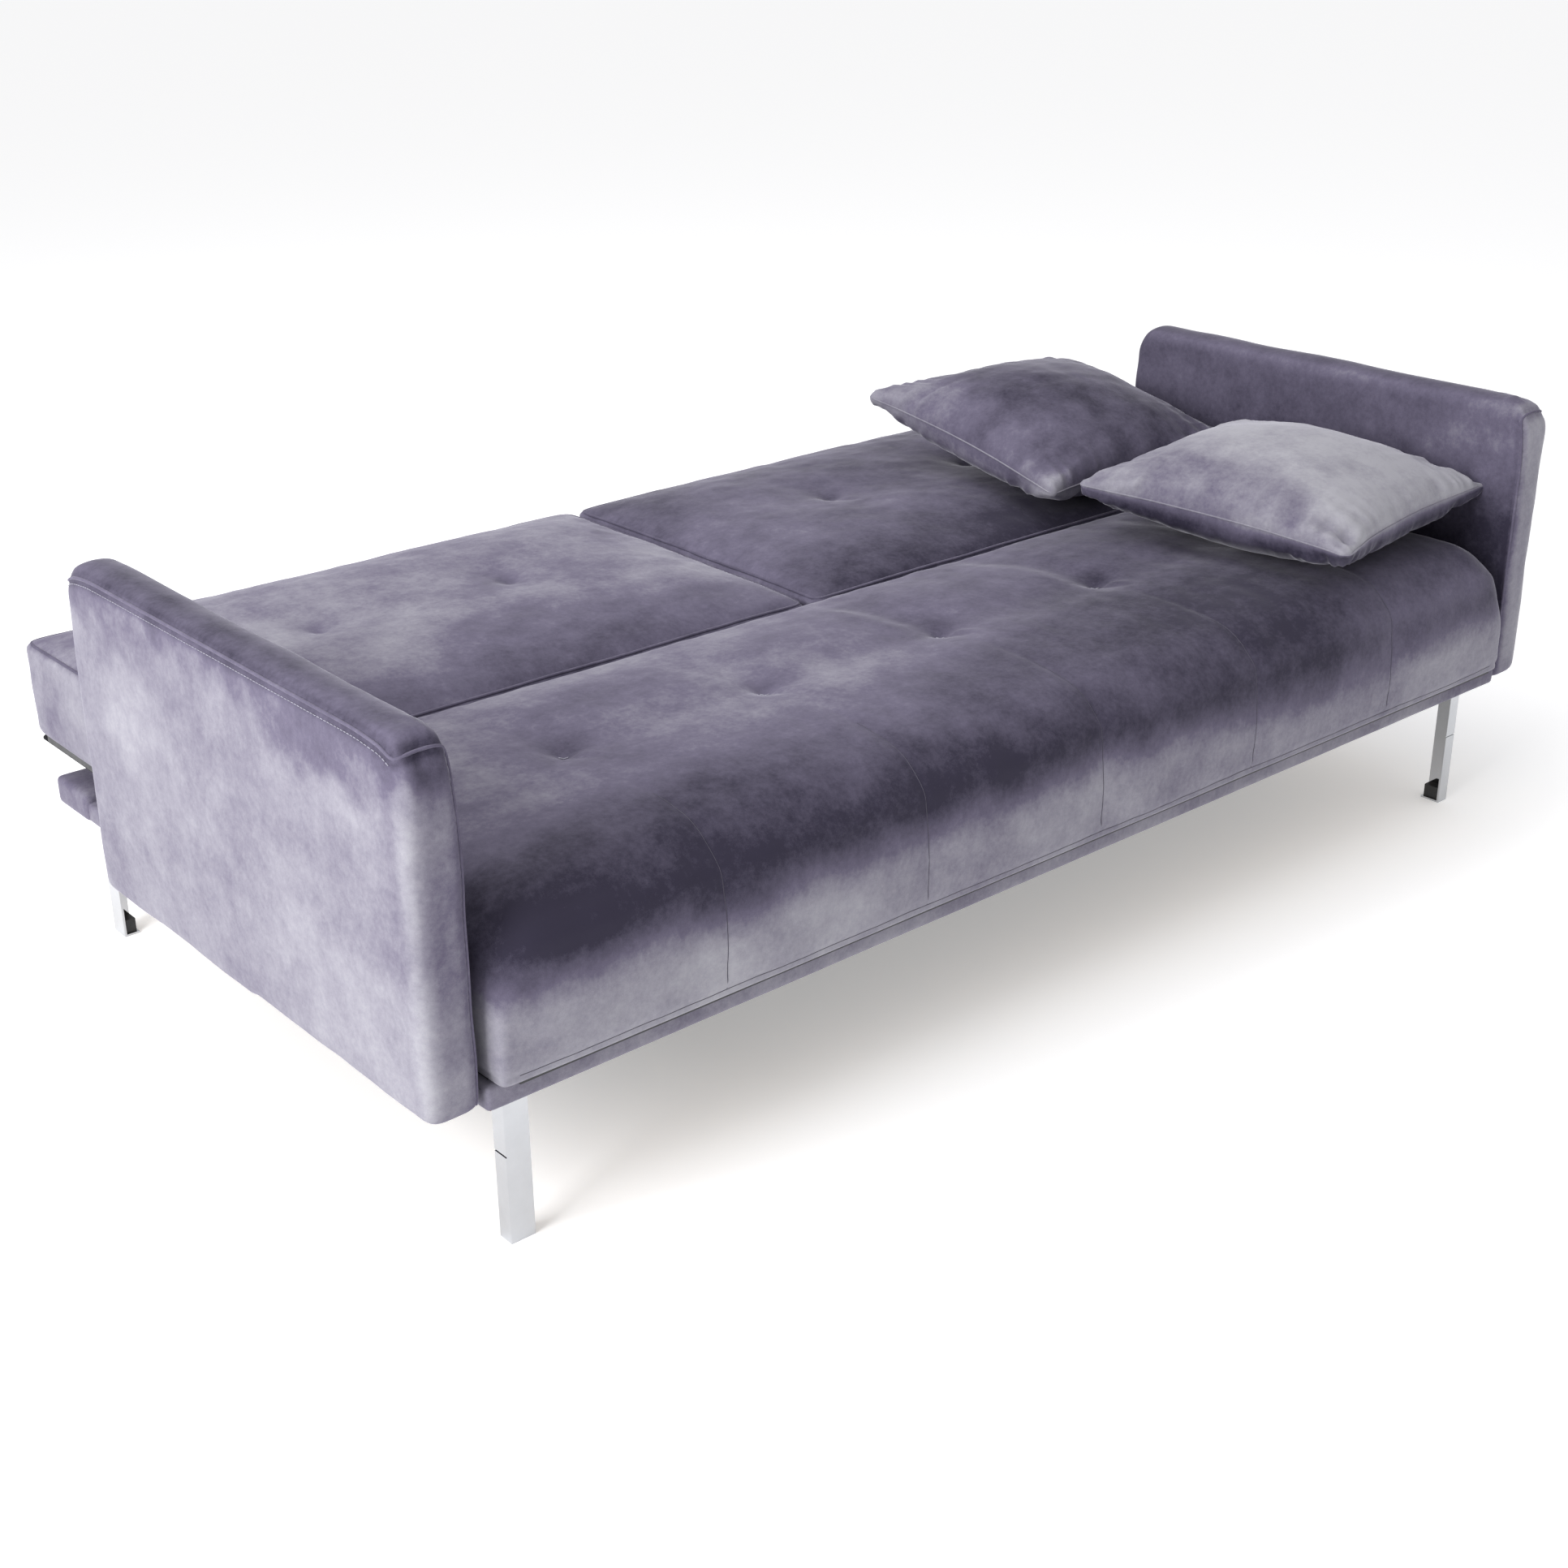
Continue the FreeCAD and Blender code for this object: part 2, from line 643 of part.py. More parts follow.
def padded_unit(prefix, x, y, bottom, top, rounds, tufts, hole_places=None, side=None):
    """Foam, cover and tuft buttons over a tube frame."""
    frame_top = f"({bottom} + {tube_height})"
    inner_top = f"({top} - {cloth_wall})"
    outer = cushion_block(f"{prefix}Outer", x, y, (bottom, top), "0", rounds)
    below = f"({bottom} - {tube_height})"
    inside = cushion_block(f"{prefix}Inside", x, y, (below, inner_top), cloth_wall, rounds)
    cover = cut(f"{prefix}CoverShell", outer, inside)
    if hole_places is not None:
        through_end = (f"({cushion_end} - {bolt_grip})", end_plate_inner)
        through_middle = ("0", f"({split_half} + {bolt_grip})")
        holes = bolt_rods(side, "CoverHole", hole_places, bolt_hole_radius(), through_end)
        holes += bolt_rods(side, "CoverHole", hole_places, bolt_hole_radius(), through_middle)
        cover = cut(f"{prefix}Cover", cover, group("CoverHoles", holes))
    node(f"{prefix}_cover", cover)
    filling = cushion_block(f"{prefix}Filling", x, y, (frame_top, inner_top), cloth_wall, rounds)
    wells = tuft_rods("Well", tufts, top, tuft_depth, f"({button_radius} + 1)", tuft_depth)
    node(f"{prefix}_foam", cut(f"{prefix}Foam", filling, group("Wells", wells)))
    buttons = tuft_rods("Button", tufts, top, tuft_depth, button_radius, button_thickness)
    node(f"{prefix}_buttons", group(f"{prefix}Buttons", buttons))


def square_tube(name, x, y, z, along_x):
    """A hollow tube along X or Y."""
    walled_y = (f"({y[0]} + {tube_wall})", f"({y[1]} - {tube_wall})")
    walled_x = (f"({x[0]} + {tube_wall})", f"({x[1]} - {tube_wall})")
    walled_z = (f"({z[0]} + {tube_wall})", f"({z[1]} - {tube_wall})")
    if along_x:
        hollow = box("Hollow", (f"({x[0]} - 1)", f"({x[1]} + 1)"), walled_y, walled_z)
    else:
        hollow = box("Hollow", walled_x, (f"({y[0]} - 1)", f"({y[1]} + 1)"), walled_z)
    return cut(name, box("Bar", x, y, z), hollow)


def tube_frame(prefix, x, y, bottom, end_round, middle_tubes, holes=None):
    """Two long tubes, which stop at the cover's round corners, and the tubes between them."""
    span = (f"({x[0]} + {cloth_wall})", f"({x[1]} - {cloth_wall})")
    long_span = (f"({x[0]} + {end_round})", f"({x[1]} - {end_round})")
    depth = (f"({y[0]} + {cloth_wall})", f"({y[1]} - {cloth_wall})")
    height = (bottom, f"({bottom} + {tube_height})")
    front_inner = f"({depth[0]} + {tube_width})"
    rear_inner = f"({depth[1]} - {tube_width})"
    long_tubes = [
        square_tube("LongTube", long_span, (depth[0], front_inner), height, True),
        square_tube("LongTube", long_span, (rear_inner, depth[1]), height, True),
    ]
    node(f"{prefix}_long_tubes", group(f"{prefix}LongTubes", long_tubes))
    starts = [span[0], f"({span[1]} - {tube_width})"] + middle_tubes
    end_tubes = []
    for start in starts:
        tube_span = (start, f"({start} + {tube_width})")
        end_tubes.append(square_tube("EndTube", tube_span, (front_inner, rear_inner), height, False))
    if holes is not None:
        end_tubes = [cut("DrilledTube", tube, group("TubeHoles", holes())) for tube in end_tubes]
    node(f"{prefix}_end_tubes", group(f"{prefix}EndTubes", end_tubes))
    wire_z = f"({bottom} + {tube_height} - 2 * {spring_wire})"
    inner_low = f"({span[0]} + {tube_width})"
    inner_high = f"({span[1]} - {tube_width})"
    return inner_low, inner_high, front_inner, rear_inner, wire_z


def seat():
    x = (f"(-{cushion_end})", cushion_end)
    y = (seat_front, seat_rear)
    tuft_y = f"({seat_front} + {seat_tuft_setback})"
    tufts = [(f"({count} * {tuft_pitch})", tuft_y) for count in range(-2, 3)]
    rounds = (seat_front_round, seat_rear_round, seat_end_round)
    padded_unit("seat", x, y, seat_bottom, seat_top, rounds, tufts)
    middle = f"(-{tube_width} / 2)"
    low, high, front, rear, z = tube_frame("seat", x, y, seat_bottom, seat_end_round, [middle])
    half_tube = f"({tube_width} / 2)"
    left = springs("SeatSpringsLeft", low, f"(-{half_tube})", front, rear, z)
    right = springs("SeatSpringsRight", half_tube, high, front, rear, z)
    node("seat_springs", group("SeatSprings", [left, right]))


def back_half(name, side):
    x = mirrored(side, split_half, cushion_end)
    y = (back_front, back_rear)
    tuft_y = f"({back_front} + {back_tuft_setback})"
    tufts = [(f"({side} * {count} * {tuft_pitch})", tuft_y) for count in (1, 2)]
    rounds = (back_edge_round, back_rim_round, back_end_round)
    prefix = f"{name}_back"
    padded_unit(prefix, x, y, back_bottom, back_top, rounds, tufts, leaf_bolt_places(), side)

    def frame_holes():
        span = ("0", end_plate_outer)
        return bolt_rods(side, "TubeHole", leaf_bolt_places(), bolt_hole_radius(), span)

    low, high, front, rear, z = tube_frame(prefix, x, y, back_bottom, back_end_round, [], frame_holes)
    node(f"{prefix}_springs", springs(f"{prefix}Springs", low, high, front, rear, z))
    lining_x = (f"({x[0]} + {cloth_wall})", f"({x[1]} - {cloth_wall})")
    lining_y = (f"({back_front} + {cloth_wall})", f"({back_rear} - {cloth_wall})")
    lining_z = (f"({back_bottom} - {lining_thickness})", back_bottom)
    lining, block = block_body(f"{prefix}Lining", lining_x, lining_y, lining_z)
    corner = f"({back_end_round} - {cloth_wall})"
    round_edges(lining, block, corner, lambda e, s: e.XLength < 0.01 and e.YLength < 0.01)
    node(f"{prefix}_lining", lining)


# Click-clack mechanism


def end_plate(name, side):
    """The fixed plate: it carries the pivot pin and the pawl's pin."""
    x = mirrored(side, end_plate_inner, end_plate_outer)[0]
    front = f"({pivot_y} - {pawl_reach} - 4 * {pawl_pin_radius})"
    rear = f"({pivot_y} + {ratchet_radius})"
    top = f"({pivot_z} + 4 * {pin_radius})"
    points = [(front, leg_height), (rear, leg_height), (rear, top), (front, top)]
    circles = [(pivot_y, pivot_z, pin_radius), (*pawl_pin_place(), pawl_pin_radius)]
    circles += [(y, z, bolt_hole_radius()) for y, z in plate_bolt_places()]
    body = plate_body(f"{name}EndPlate", x, plate_thickness, points, circles)
    corner = f"3 * {pin_radius}"
    round_edges(body, body.Tip, corner, lambda e, s: runs_along_x(e) and is_outer_corner(e, s))
    node(f"{name}_end_plate", body)


def is_outer_corner(edge, shape):
    at_side = near(edge.YMin, shape.YMin) or near(edge.YMax, shape.YMax)
    return at_side and near(edge.ZMax, shape.ZMax)


def pawl_pin_place():
    drop = f"({ratchet_radius} + 2.6 * {pawl_pin_radius})"
    return f"({pivot_y} - {pawl_reach})", f"({pivot_z} - {drop})"


def ratchet_leaf(name, side):
    """The folding leaf: an arm bolted to the half's frame, and a disc with notches."""
    x = mirrored(side, leaf_inner, leaf_outer)[0]
    low = f"({leaf_bolt_z} - {tube_height} / 3)"
    high = f"({leaf_bolt_z} + {tube_height} / 3)"
    far = f"({leaf_bolt_y} + {leaf_bolt_pitch} + 3 * {bolt_radius})"
    points = [
        (f"({pivot_y} + {ratchet_radius} / 4)", f"({pivot_z} - 0.8 * {ratchet_radius})"),
        (f"({leaf_bolt_y} - 4 * {bolt_radius})", low),
        (far, low),
        (far, high),
        (leaf_bolt_y, high),
        (f"({pivot_y} + 0.8 * {ratchet_radius})", pivot_z),
    ]
    holes = [(y, z, bolt_hole_radius()) for y, z in leaf_bolt_places()]
    arm = plate_body(f"{name}LeafArm", x, plate_thickness, points, holes)
    disc = notched_disc(f"{name}Disc", x)
    whole = fuse(f"{name}LeafWhole", [arm, disc])
    bore = rod("LeafBore", "X", (x, pivot_y, pivot_z), plate_thickness, f"({pin_radius} + {pin_clearance})")
    node(f"{name}_ratchet_leaf", cut(f"{name}RatchetLeaf", whole, bore))


def notched_disc(name, x):
    """A disc centred on its own origin, with notches from straight down towards the front."""
    body = doc.addObject("PartDesign::Body", name)
    sketch = outline_sketch(body, "YZ_Plane", [], [("0", "0", ratchet_radius)])
    pad = body.newObject("PartDesign::Pad", "Disc")
    pad.Profile = sketch
    pad.setExpression("Length", plate_thickness)
    body.Tip = pad
    doc.recompute()
    half = f"({notch_width} / 2)"
    floor = f"(-{ratchet_radius} + {notch_depth})"
    rim = f"(-{ratchet_radius} - 1)"
    points = [(f"(-{half})", rim), (half, rim), (half, floor), (f"(-{half})", floor)]
    notch = body.newObject("PartDesign::Pocket", "Notch")
    notch.Profile = outline_sketch(body, "YZ_Plane", points)
    notch.Type = "ThroughAll"
    notch.Midplane = True
    body.Tip = notch
    doc.recompute()
    pattern = body.newObject("PartDesign::PolarPattern", "Notches")
    pattern.Originals = [notch]
    pattern.Axis = (origin_plane(body, "X_Axis"), [""])
    pattern.Reversed = True
    pattern.Occurrences = NOTCHES
    pattern.setExpression("Angle", f"({notch_step} * {NOTCHES - 1})")
    body.Tip = pattern
    place(body, x, pivot_y, pivot_z)
    return body


def pawl(name, side):
    """A small lever under the disc; its nose swings up into a notch."""
    x = mirrored(side, leaf_inner, leaf_outer)[0]
    pin_y, pin_z = pawl_pin_place()
    nose_top = f"({pivot_z} - {ratchet_radius} - 0.4)"
    shoulder = f"({nose_top} - {notch_depth} * 0.8)"
    boss = f"(2.6 * {pawl_pin_radius})"
    nose = f"({notch_width} / 2 - 0.6)"
    tip = f"({notch_width} / 2 - 1.8)"
    under = f"({shoulder} - {boss})"
    points = [
        (f"({pin_y} - {boss})", under),
        (f"({pivot_y} + {notch_width})", under),
        (f"({pivot_y} + {notch_width})", shoulder),
        (f"({pivot_y} + {nose})", shoulder),
        (f"({pivot_y} + {tip})", nose_top),
        (f"({pivot_y} - {tip})", nose_top),
        (f"({pivot_y} - {nose})", shoulder),
        (f"({pin_y} + 1.6 * {boss})", shoulder),
        (f"({pin_y} + {boss})", f"({pin_z} + {boss})"),
        (f"({pin_y} - {boss})", f"({pin_z} + {boss})"),
    ]
    hole = [(pin_y, pin_z, f"({pawl_pin_radius} + {pin_clearance})")]
    node(f"{name}_pawl", plate_body(f"{name}Pawl", x, plate_thickness, points, hole))


def centre_bracket():
    """The middle plate, which carries the inner ends of both halves."""
    x = f"(-{centre_plate_thickness} / 2)"
    front = f"({pivot_y} - {ratchet_radius} / 2)"
    rear = f"({pivot_y} + {ratchet_radius} / 2)"
    top = f"({pivot_z} + {centre_leaf_radius})"
    points = [(front, leg_height), (rear, leg_height), (rear, top), (front, top)]
    body = plate_body("CentreBracket", x, centre_plate_thickness, points, [(pivot_y, pivot_z, pin_radius)])
    corner = f"2 * {pin_radius}"
    round_edges(body, body.Tip, corner, lambda e, s: runs_along_x(e) and is_outer_corner(e, s))
    node("centre_bracket", body)


def centre_leaf(name, side):
    """A plain folding leaf at the split."""
    x = mirrored(side, centre_leaf_inner, centre_leaf_outer)[0]
    low = f"({leaf_bolt_z} - {tube_height} / 3)"
    high = f"({leaf_bolt_z} + {tube_height} / 3)"
    far = f"({leaf_bolt_y} + {leaf_bolt_pitch} + 3 * {bolt_radius})"
    points = [
        (f"({pivot_y} - 0.8 * {centre_leaf_radius})", f"({pivot_z} - 0.4 * {centre_leaf_radius})"),
        (f"({leaf_bolt_y} - 4 * {bolt_radius})", low),
        (far, low),
        (far, high),
        (leaf_bolt_y, high),
        (f"({pivot_y} + 0.8 * {centre_leaf_radius})", pivot_z),
    ]
    holes = [(y, z, bolt_hole_radius()) for y, z in leaf_bolt_places()]
    arm = plate_body(f"{name}CentreArm", x, centre_leaf_thickness, points, holes)
    start = (x, pivot_y, pivot_z)
    eye = rod(f"{name}CentreEye", "X", start, centre_leaf_thickness, centre_leaf_radius)
    whole = fuse(f"{name}CentreWhole", [arm, eye])
    bore = rod("CentreBore", "X", start, centre_leaf_thickness, f"({pin_radius} + {pin_clearance})")
    node(f"{name}_centre_leaf", cut(f"{name}CentreLeaf", whole, bore))


def pins_and_pads():
    pins = []
    for side in SIDES.values():
        start, end = mirrored(side, leaf_inner, end_plate_outer)
        pins.append(rod("PivotPin", "X", (start, pivot_y, pivot_z), f"{end} - {start}", pin_radius))
        pawl_start = (start, *pawl_pin_place())
        pins.append(rod("PawlPin", "X", pawl_start, f"{end} - {start}", pawl_pin_radius))
    start = (f"(-{centre_leaf_outer})", pivot_y, pivot_z)
    pins.append(rod("PivotPin", "X", start, f"2 * {centre_leaf_outer}", pin_radius))
    node("pivot_pins", group("PivotPins", pins))
    pads = []
    pad_y = f"({rail_rear} - {rail_width} / 2)"
    pad_length = f"{back_bottom} - {lining_thickness} - {rest_clearance} - {rear_rail_top}"
    for share in (-0.8, -0.2, 0.2, 0.8):
        start = (f"({share} * {cushion_end})", pad_y, rear_rail_top)
        pads.append(rod("RestPad", "Z", start, pad_length, rest_pad_radius))
    node("rest_pads", group("RestPads", pads))


# Scatter pillows


def pillow_block(name, shrink):
    """A soft square: five square sections, full width at the seam."""
    body = doc.addObject("PartDesign::Body", name)
    height = f"({pillow_thickness} / 2 - {shrink})"
    shares = ((-1.0, 0.3), (-0.8, 0.62), (-0.46, 0.85), (0.0, 1.0), (0.46, 0.85), (0.8, 0.62), (1.0, 0.3))
    sections = []
    for level, width in shares:
        half = f"({width} * ({pillow_side} / 2 - {shrink}))"
        corners = [(f"(-{half})", f"(-{half})"), (half, f"(-{half})"), (half, half), (f"(-{half})", half)]
        sections.append(outline_sketch(body, "XY_Plane", corners, offset=f"({level} * {height})"))
    loft = body.newObject("PartDesign::AdditiveLoft", "Soft")
    loft.Profile = sections[0]
    loft.Sections = sections[1:]
    loft.Ruled = True
    body.Tip = loft
    return body


def pillow(name, x, y, turn, tilt, support):
    """A cover and its insert, tilted, turned and lowered until it rests."""
    outer = pillow_block(f"{name}Outer", "0")
    inside = pillow_block(f"{name}Inside", cloth_wall)
    cover = cut(f"{name}Cover", outer, inside)
    insert = pillow_block(f"{name}Insert", cloth_wall)
    lean = FreeCAD.Rotation(FreeCAD.Vector(1, 0, 0), number(tilt))
    spin = FreeCAD.Rotation(FreeCAD.Vector(0, 0, 1), number(turn))
    place(cover, x, y, turn=lean.multiply(spin))
    doc.recompute()
    drop = cover.Shape.optimalBoundingBox(False).ZMin
    lift = f"({support} + {pillow_rest_gap} - {drop})"
    place(cover, x, y, lift)
    place(insert, x, y, lift, turn=lean.multiply(spin))
    node(f"{name}_cover", cover)
    node(f"{name}_insert", insert)


def pillows():
    front_y = f"({seat_front} + {front_pillow_setback})"
    rear_y = f"({front_y} + {pillow_side} + {pillow_spacing})"
    pillow("front_pillow", front_pillow_x, front_y, front_pillow_turn, front_pillow_tilt, seat_top)
    pillow("rear_pillow", rear_pillow_x, rear_y, rear_pillow_turn, rear_pillow_tilt, back_top)


def drill_for_legs(screws):
    """Holes in the front and rear rails for the leg screws."""
    for label in ("front_rail", "rear_rail"):
        rail = nodes.pop(label)
        rail.Label = f"{label}_block"
        holes = []
        for screw in screws:
            hole = doc.addObject("Part::Cylinder", "ScrewHole")
            hole.setExpression("Radius", screw_hole_radius())
            hole.setExpression("Height", screw_length)
            for axis in "xyz":
                hole.setExpression(f"Placement.Base.{axis}", f"{screw.Name}.Placement.Base.{axis}")
            holes.append(hole)
        node(label, cut(f"{label}Drilled", rail, group("ScrewHoles", holes)))


def write_parts():
    """Check every object and every shape, then write one file for each sub-part."""
    doc.recompute()
    failed = [item.Name for item in doc.Objects if {"Invalid", "Error"} & set(item.State)]
    if failed:
        raise RuntimeError(f"failed objects: {failed}")
    for label, piece in nodes.items():
        shape = piece.Shape
        if shape.isNull() or not shape.isValid() or not shape.Solids:
            raise RuntimeError(f"{label} has no valid solid")
    os.makedirs("parts", exist_ok=True)
    for label, piece in nodes.items():
        piece.Shape.exportStep(f"parts/{label}.step")


base_frame()
drill_for_legs(legs())
arms()
seat()
for half_name, half_side in SIDES.items():
    back_half(half_name, half_side)
    end_plate(half_name, half_side)
    ratchet_leaf(half_name, half_side)
    pawl(half_name, half_side)
    centre_leaf(half_name, half_side)
centre_bracket()
pins_and_pads()
fasteners()
pillows()
write_parts()
print(len(nodes), "sub-parts")
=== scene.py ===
"""Futon sofa bed in velvet: the upholstery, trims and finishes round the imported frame. Metres."""
import json

import bpy
import numpy as np
from mathutils import Matrix, Vector


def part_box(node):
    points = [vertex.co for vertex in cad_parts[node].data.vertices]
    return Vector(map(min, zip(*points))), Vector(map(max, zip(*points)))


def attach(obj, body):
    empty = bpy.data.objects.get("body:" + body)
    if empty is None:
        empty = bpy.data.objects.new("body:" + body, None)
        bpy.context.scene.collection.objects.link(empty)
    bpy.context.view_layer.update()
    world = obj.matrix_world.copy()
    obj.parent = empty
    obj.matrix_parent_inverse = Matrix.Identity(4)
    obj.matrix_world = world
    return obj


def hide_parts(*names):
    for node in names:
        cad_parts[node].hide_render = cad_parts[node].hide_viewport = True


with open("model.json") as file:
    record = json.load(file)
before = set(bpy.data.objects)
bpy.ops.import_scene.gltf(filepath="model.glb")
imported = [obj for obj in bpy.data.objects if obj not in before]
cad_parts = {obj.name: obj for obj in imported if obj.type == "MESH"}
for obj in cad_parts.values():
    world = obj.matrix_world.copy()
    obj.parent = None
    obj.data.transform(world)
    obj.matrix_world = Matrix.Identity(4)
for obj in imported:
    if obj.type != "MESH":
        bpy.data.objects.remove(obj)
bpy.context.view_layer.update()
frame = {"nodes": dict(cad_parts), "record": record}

MM = 0.001
LEFT, RIGHT = -1, 1
SIDES = {"left": LEFT, "right": RIGHT}


# ---- places taken from the frame
def node_box(*names):
    """Lowest and highest corner of one or more CAD nodes together."""
    boxes = np.array([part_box(name) for name in names])
    return boxes[:, 0].min(axis=0), boxes[:, 1].max(axis=0)


def middle_y(name):
    """Half way between the front and the rear of one CAD node."""
    low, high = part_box(name)
    return float((low[1] + high[1]) / 2)


SEAT_LOW, SEAT_HIGH = node_box("seat_cover")
BACK_BOXES = {name: node_box(f"{name}_back_cover") for name in SIDES}
ARM_BOXES = {name: node_box(f"{name}_arm_cover") for name in SIDES}
RAIL_LOW, RAIL_HIGH = node_box("base_border_cover")
SEAT_TUFT_Y = middle_y("seat_buttons")
BACK_TUFT_Y = middle_y("left_back_buttons")

# Tufts stand a pitch apart. The seat has five, and each backrest half has two.
TUFT_PITCH = 310 * MM
SEAT_TUFTS = range(-2, 3)
BACK_TUFTS = (1, 2)
TUFT_WIDTH = 36 * MM
CROWN = 11 * MM

# Grid steps of the covers, and what is held still while a cover swells.
CUSHION_STEP = 11.5 * MM
ARM_STEP = 9 * MM
RAIL_STEP = 7 * MM
TUFT_HOLD = 9 * MM
HEM_HOLD = 14 * MM
EVENING_PASSES = 24

# Threads and welts.
STITCH_LENGTH = 4.5 * MM
STITCH_GAP = 2 * MM
STITCH_RADIUS = 0.45 * MM
SEAM_RADIUS = 0.55 * MM
KNOT_RADIUS = 0.8 * MM
BACK_WELT_RADIUS = 2.4 * MM
ARM_WELT_RADIUS = 1.9 * MM
PIPING_RADIUS = 1.3 * MM


# ---- small maths
def smooth(value, start, end):
    """0 below start, 1 above end, an S-shaped step between."""
    t = np.clip((value - start) / (end - start), 0, 1)
    return t * t * (3 - 2 * t)


def bell(distance, width):
    """A round bump of height 1: the exponential of minus the squared ratio of distance to width."""
    return np.exp(-((distance / width) ** 2))


def drift(points, seed, scale, octaves=3):
    """Soft random swells between -1 and 1: a sum of bent plane waves with fixed random directions."""
    waves, shorter, weaker, bend_rate, gain = 6, 1.9, 1.7, 2.1, 1.35
    rng = np.random.default_rng(seed)
    total = np.zeros(len(points))
    for octave in range(octaves):
        size = scale / shorter**octave
        for _ in range(waves):
            way = rng.normal(size=3)
            way /= np.linalg.norm(way)
            phase = rng.uniform(0, 2 * np.pi)
            bend = np.sin(points @ rng.normal(size=3) * bend_rate / size + phase)
            wave = np.sin(points @ way * 2 * np.pi / size + phase + bend)
            total += wave / weaker**octave / waves
    return np.clip(total * gain, -1, 1)


# ---- meshes
def make_mesh(name, points, faces):
    """A mesh object at the origin from arrays of points and faces."""
    mesh = bpy.data.meshes.new(name)
    mesh.from_pydata(np.asarray(points, float).tolist(), [], [list(map(int, f)) for f in faces])
    mesh.validate()
    mesh.polygons.foreach_set("use_smooth", np.ones(len(mesh.polygons), bool))
    mesh.update()
    piece = bpy.data.objects.new(name, mesh)
    bpy.context.scene.collection.objects.link(piece)
    return piece


def get_points(piece):
    """The piece's points, one row each."""
    flat = np.empty(len(piece.data.vertices) * 3, np.float32)
    piece.data.vertices.foreach_get("co", flat)
    return flat.reshape(-1, 3).astype(float)


def set_points(piece, points):
    """Move the piece's points to these rows."""
    piece.data.vertices.foreach_set("co", np.asarray(points, np.float32).ravel())
    piece.data.update()


def get_normals(piece):
    """The outward direction at each point."""
    flat = np.empty(len(piece.data.vertices) * 3, np.float32)
    piece.data.vertex_normals.foreach_get("vector", flat)
    return flat.reshape(-1, 3).astype(float)


def set_painted_sheen_shade(piece, amount):
    """Painted sheen and shade at each point, for the way the pile catches the light: 0 dark, 1 light."""
    keep_value(piece, "painted_sheen_shade", np.clip(amount, 0, 1))


def keep_value(piece, name, values):
    """Store one number at each point, which subdividing carries on to the new points."""
    layers = piece.data.attributes
    layer = layers.get(name) or layers.new(name, "FLOAT", "POINT")
    layer.data.foreach_set("value", values.astype(np.float32))


def read_value(piece, name):
    """The number stored at each point under a name."""
    values = np.empty(len(piece.data.vertices), np.float32)
    piece.data.attributes[name].data.foreach_get("value", values)
    return values.astype(float)


def subdivide(piece, levels=1):
    """Catmull-Clark smoothing, applied; the first points stay the first points."""
    modifier = piece.modifiers.new("Smooth", "SUBSURF")
    modifier.levels = levels
    modifier.render_levels = levels
    apply_modifiers(piece)


def apply_modifiers(piece):
    """Turn what the modifiers show into the piece's own mesh, smooth shaded."""
    depsgraph = bpy.context.evaluated_depsgraph_get()
    done = bpy.data.meshes.new_from_object(piece.evaluated_get(depsgraph))
    piece.modifiers.clear()
    piece.data = done
    done.polygons.foreach_set("use_smooth", np.ones(len(done.polygons), bool))


def grid_lines(low, high, step):
    """Evenly spaced places from low to high, about a step apart."""
    count = max(2, int(round((high - low) / step)))
    return np.linspace(low, high, count + 1)


def grid_quads(sheet, flip):
    """The quads between the point numbers of a grid, turned over if asked."""
    corners = [sheet[:-1, :-1], sheet[1:, :-1], sheet[1:, 1:], sheet[:-1, 1:]]
    return np.stack(corners[::-1] if flip else corners, axis=-1).reshape(-1, 4)


def lattice_shell(xs, ys, zs):
    """The closed surface of a box whose points lie where the grid lines xs, ys and zs cross.

    It gives the points, the quads, and each grid place's point number (-1 inside the box).
    """
    shape = (len(xs), len(ys), len(zs))
    place = np.indices(shape)
    last = np.array(shape).reshape(3, 1, 1, 1) - 1
    outside = ((place == 0) | (place == last)).any(axis=0)
    ids = np.full(shape, -1)
    ids[outside] = np.arange(outside.sum())
    chosen = place[:, outside]
    points = np.column_stack([xs[chosen[0]], ys[chosen[1]], zs[chosen[2]]])
    quads = []
    for axis in range(3):
        for end in (0, -1):
            faces_in = (end == -1) == (axis == 1)
            quads.append(grid_quads(np.take(ids, end, axis=axis), faces_in))
    return points, np.concatenate(quads), ids


def round_slab(points, low, high, radii):
    """Each point near an edge moves onto a quarter ellipse of its radii, and near a corner onto an ellipsoid.

    The core is the box shrunk by the radii; what sticks out of the core is shortened to the radii.
    """
    core = np.clip(points, low + radii, high - radii)
    away = (points - core) / radii
    length = np.linalg.norm(away, axis=1, keepdims=True)
    return core + radii * away / np.maximum(length, 1)


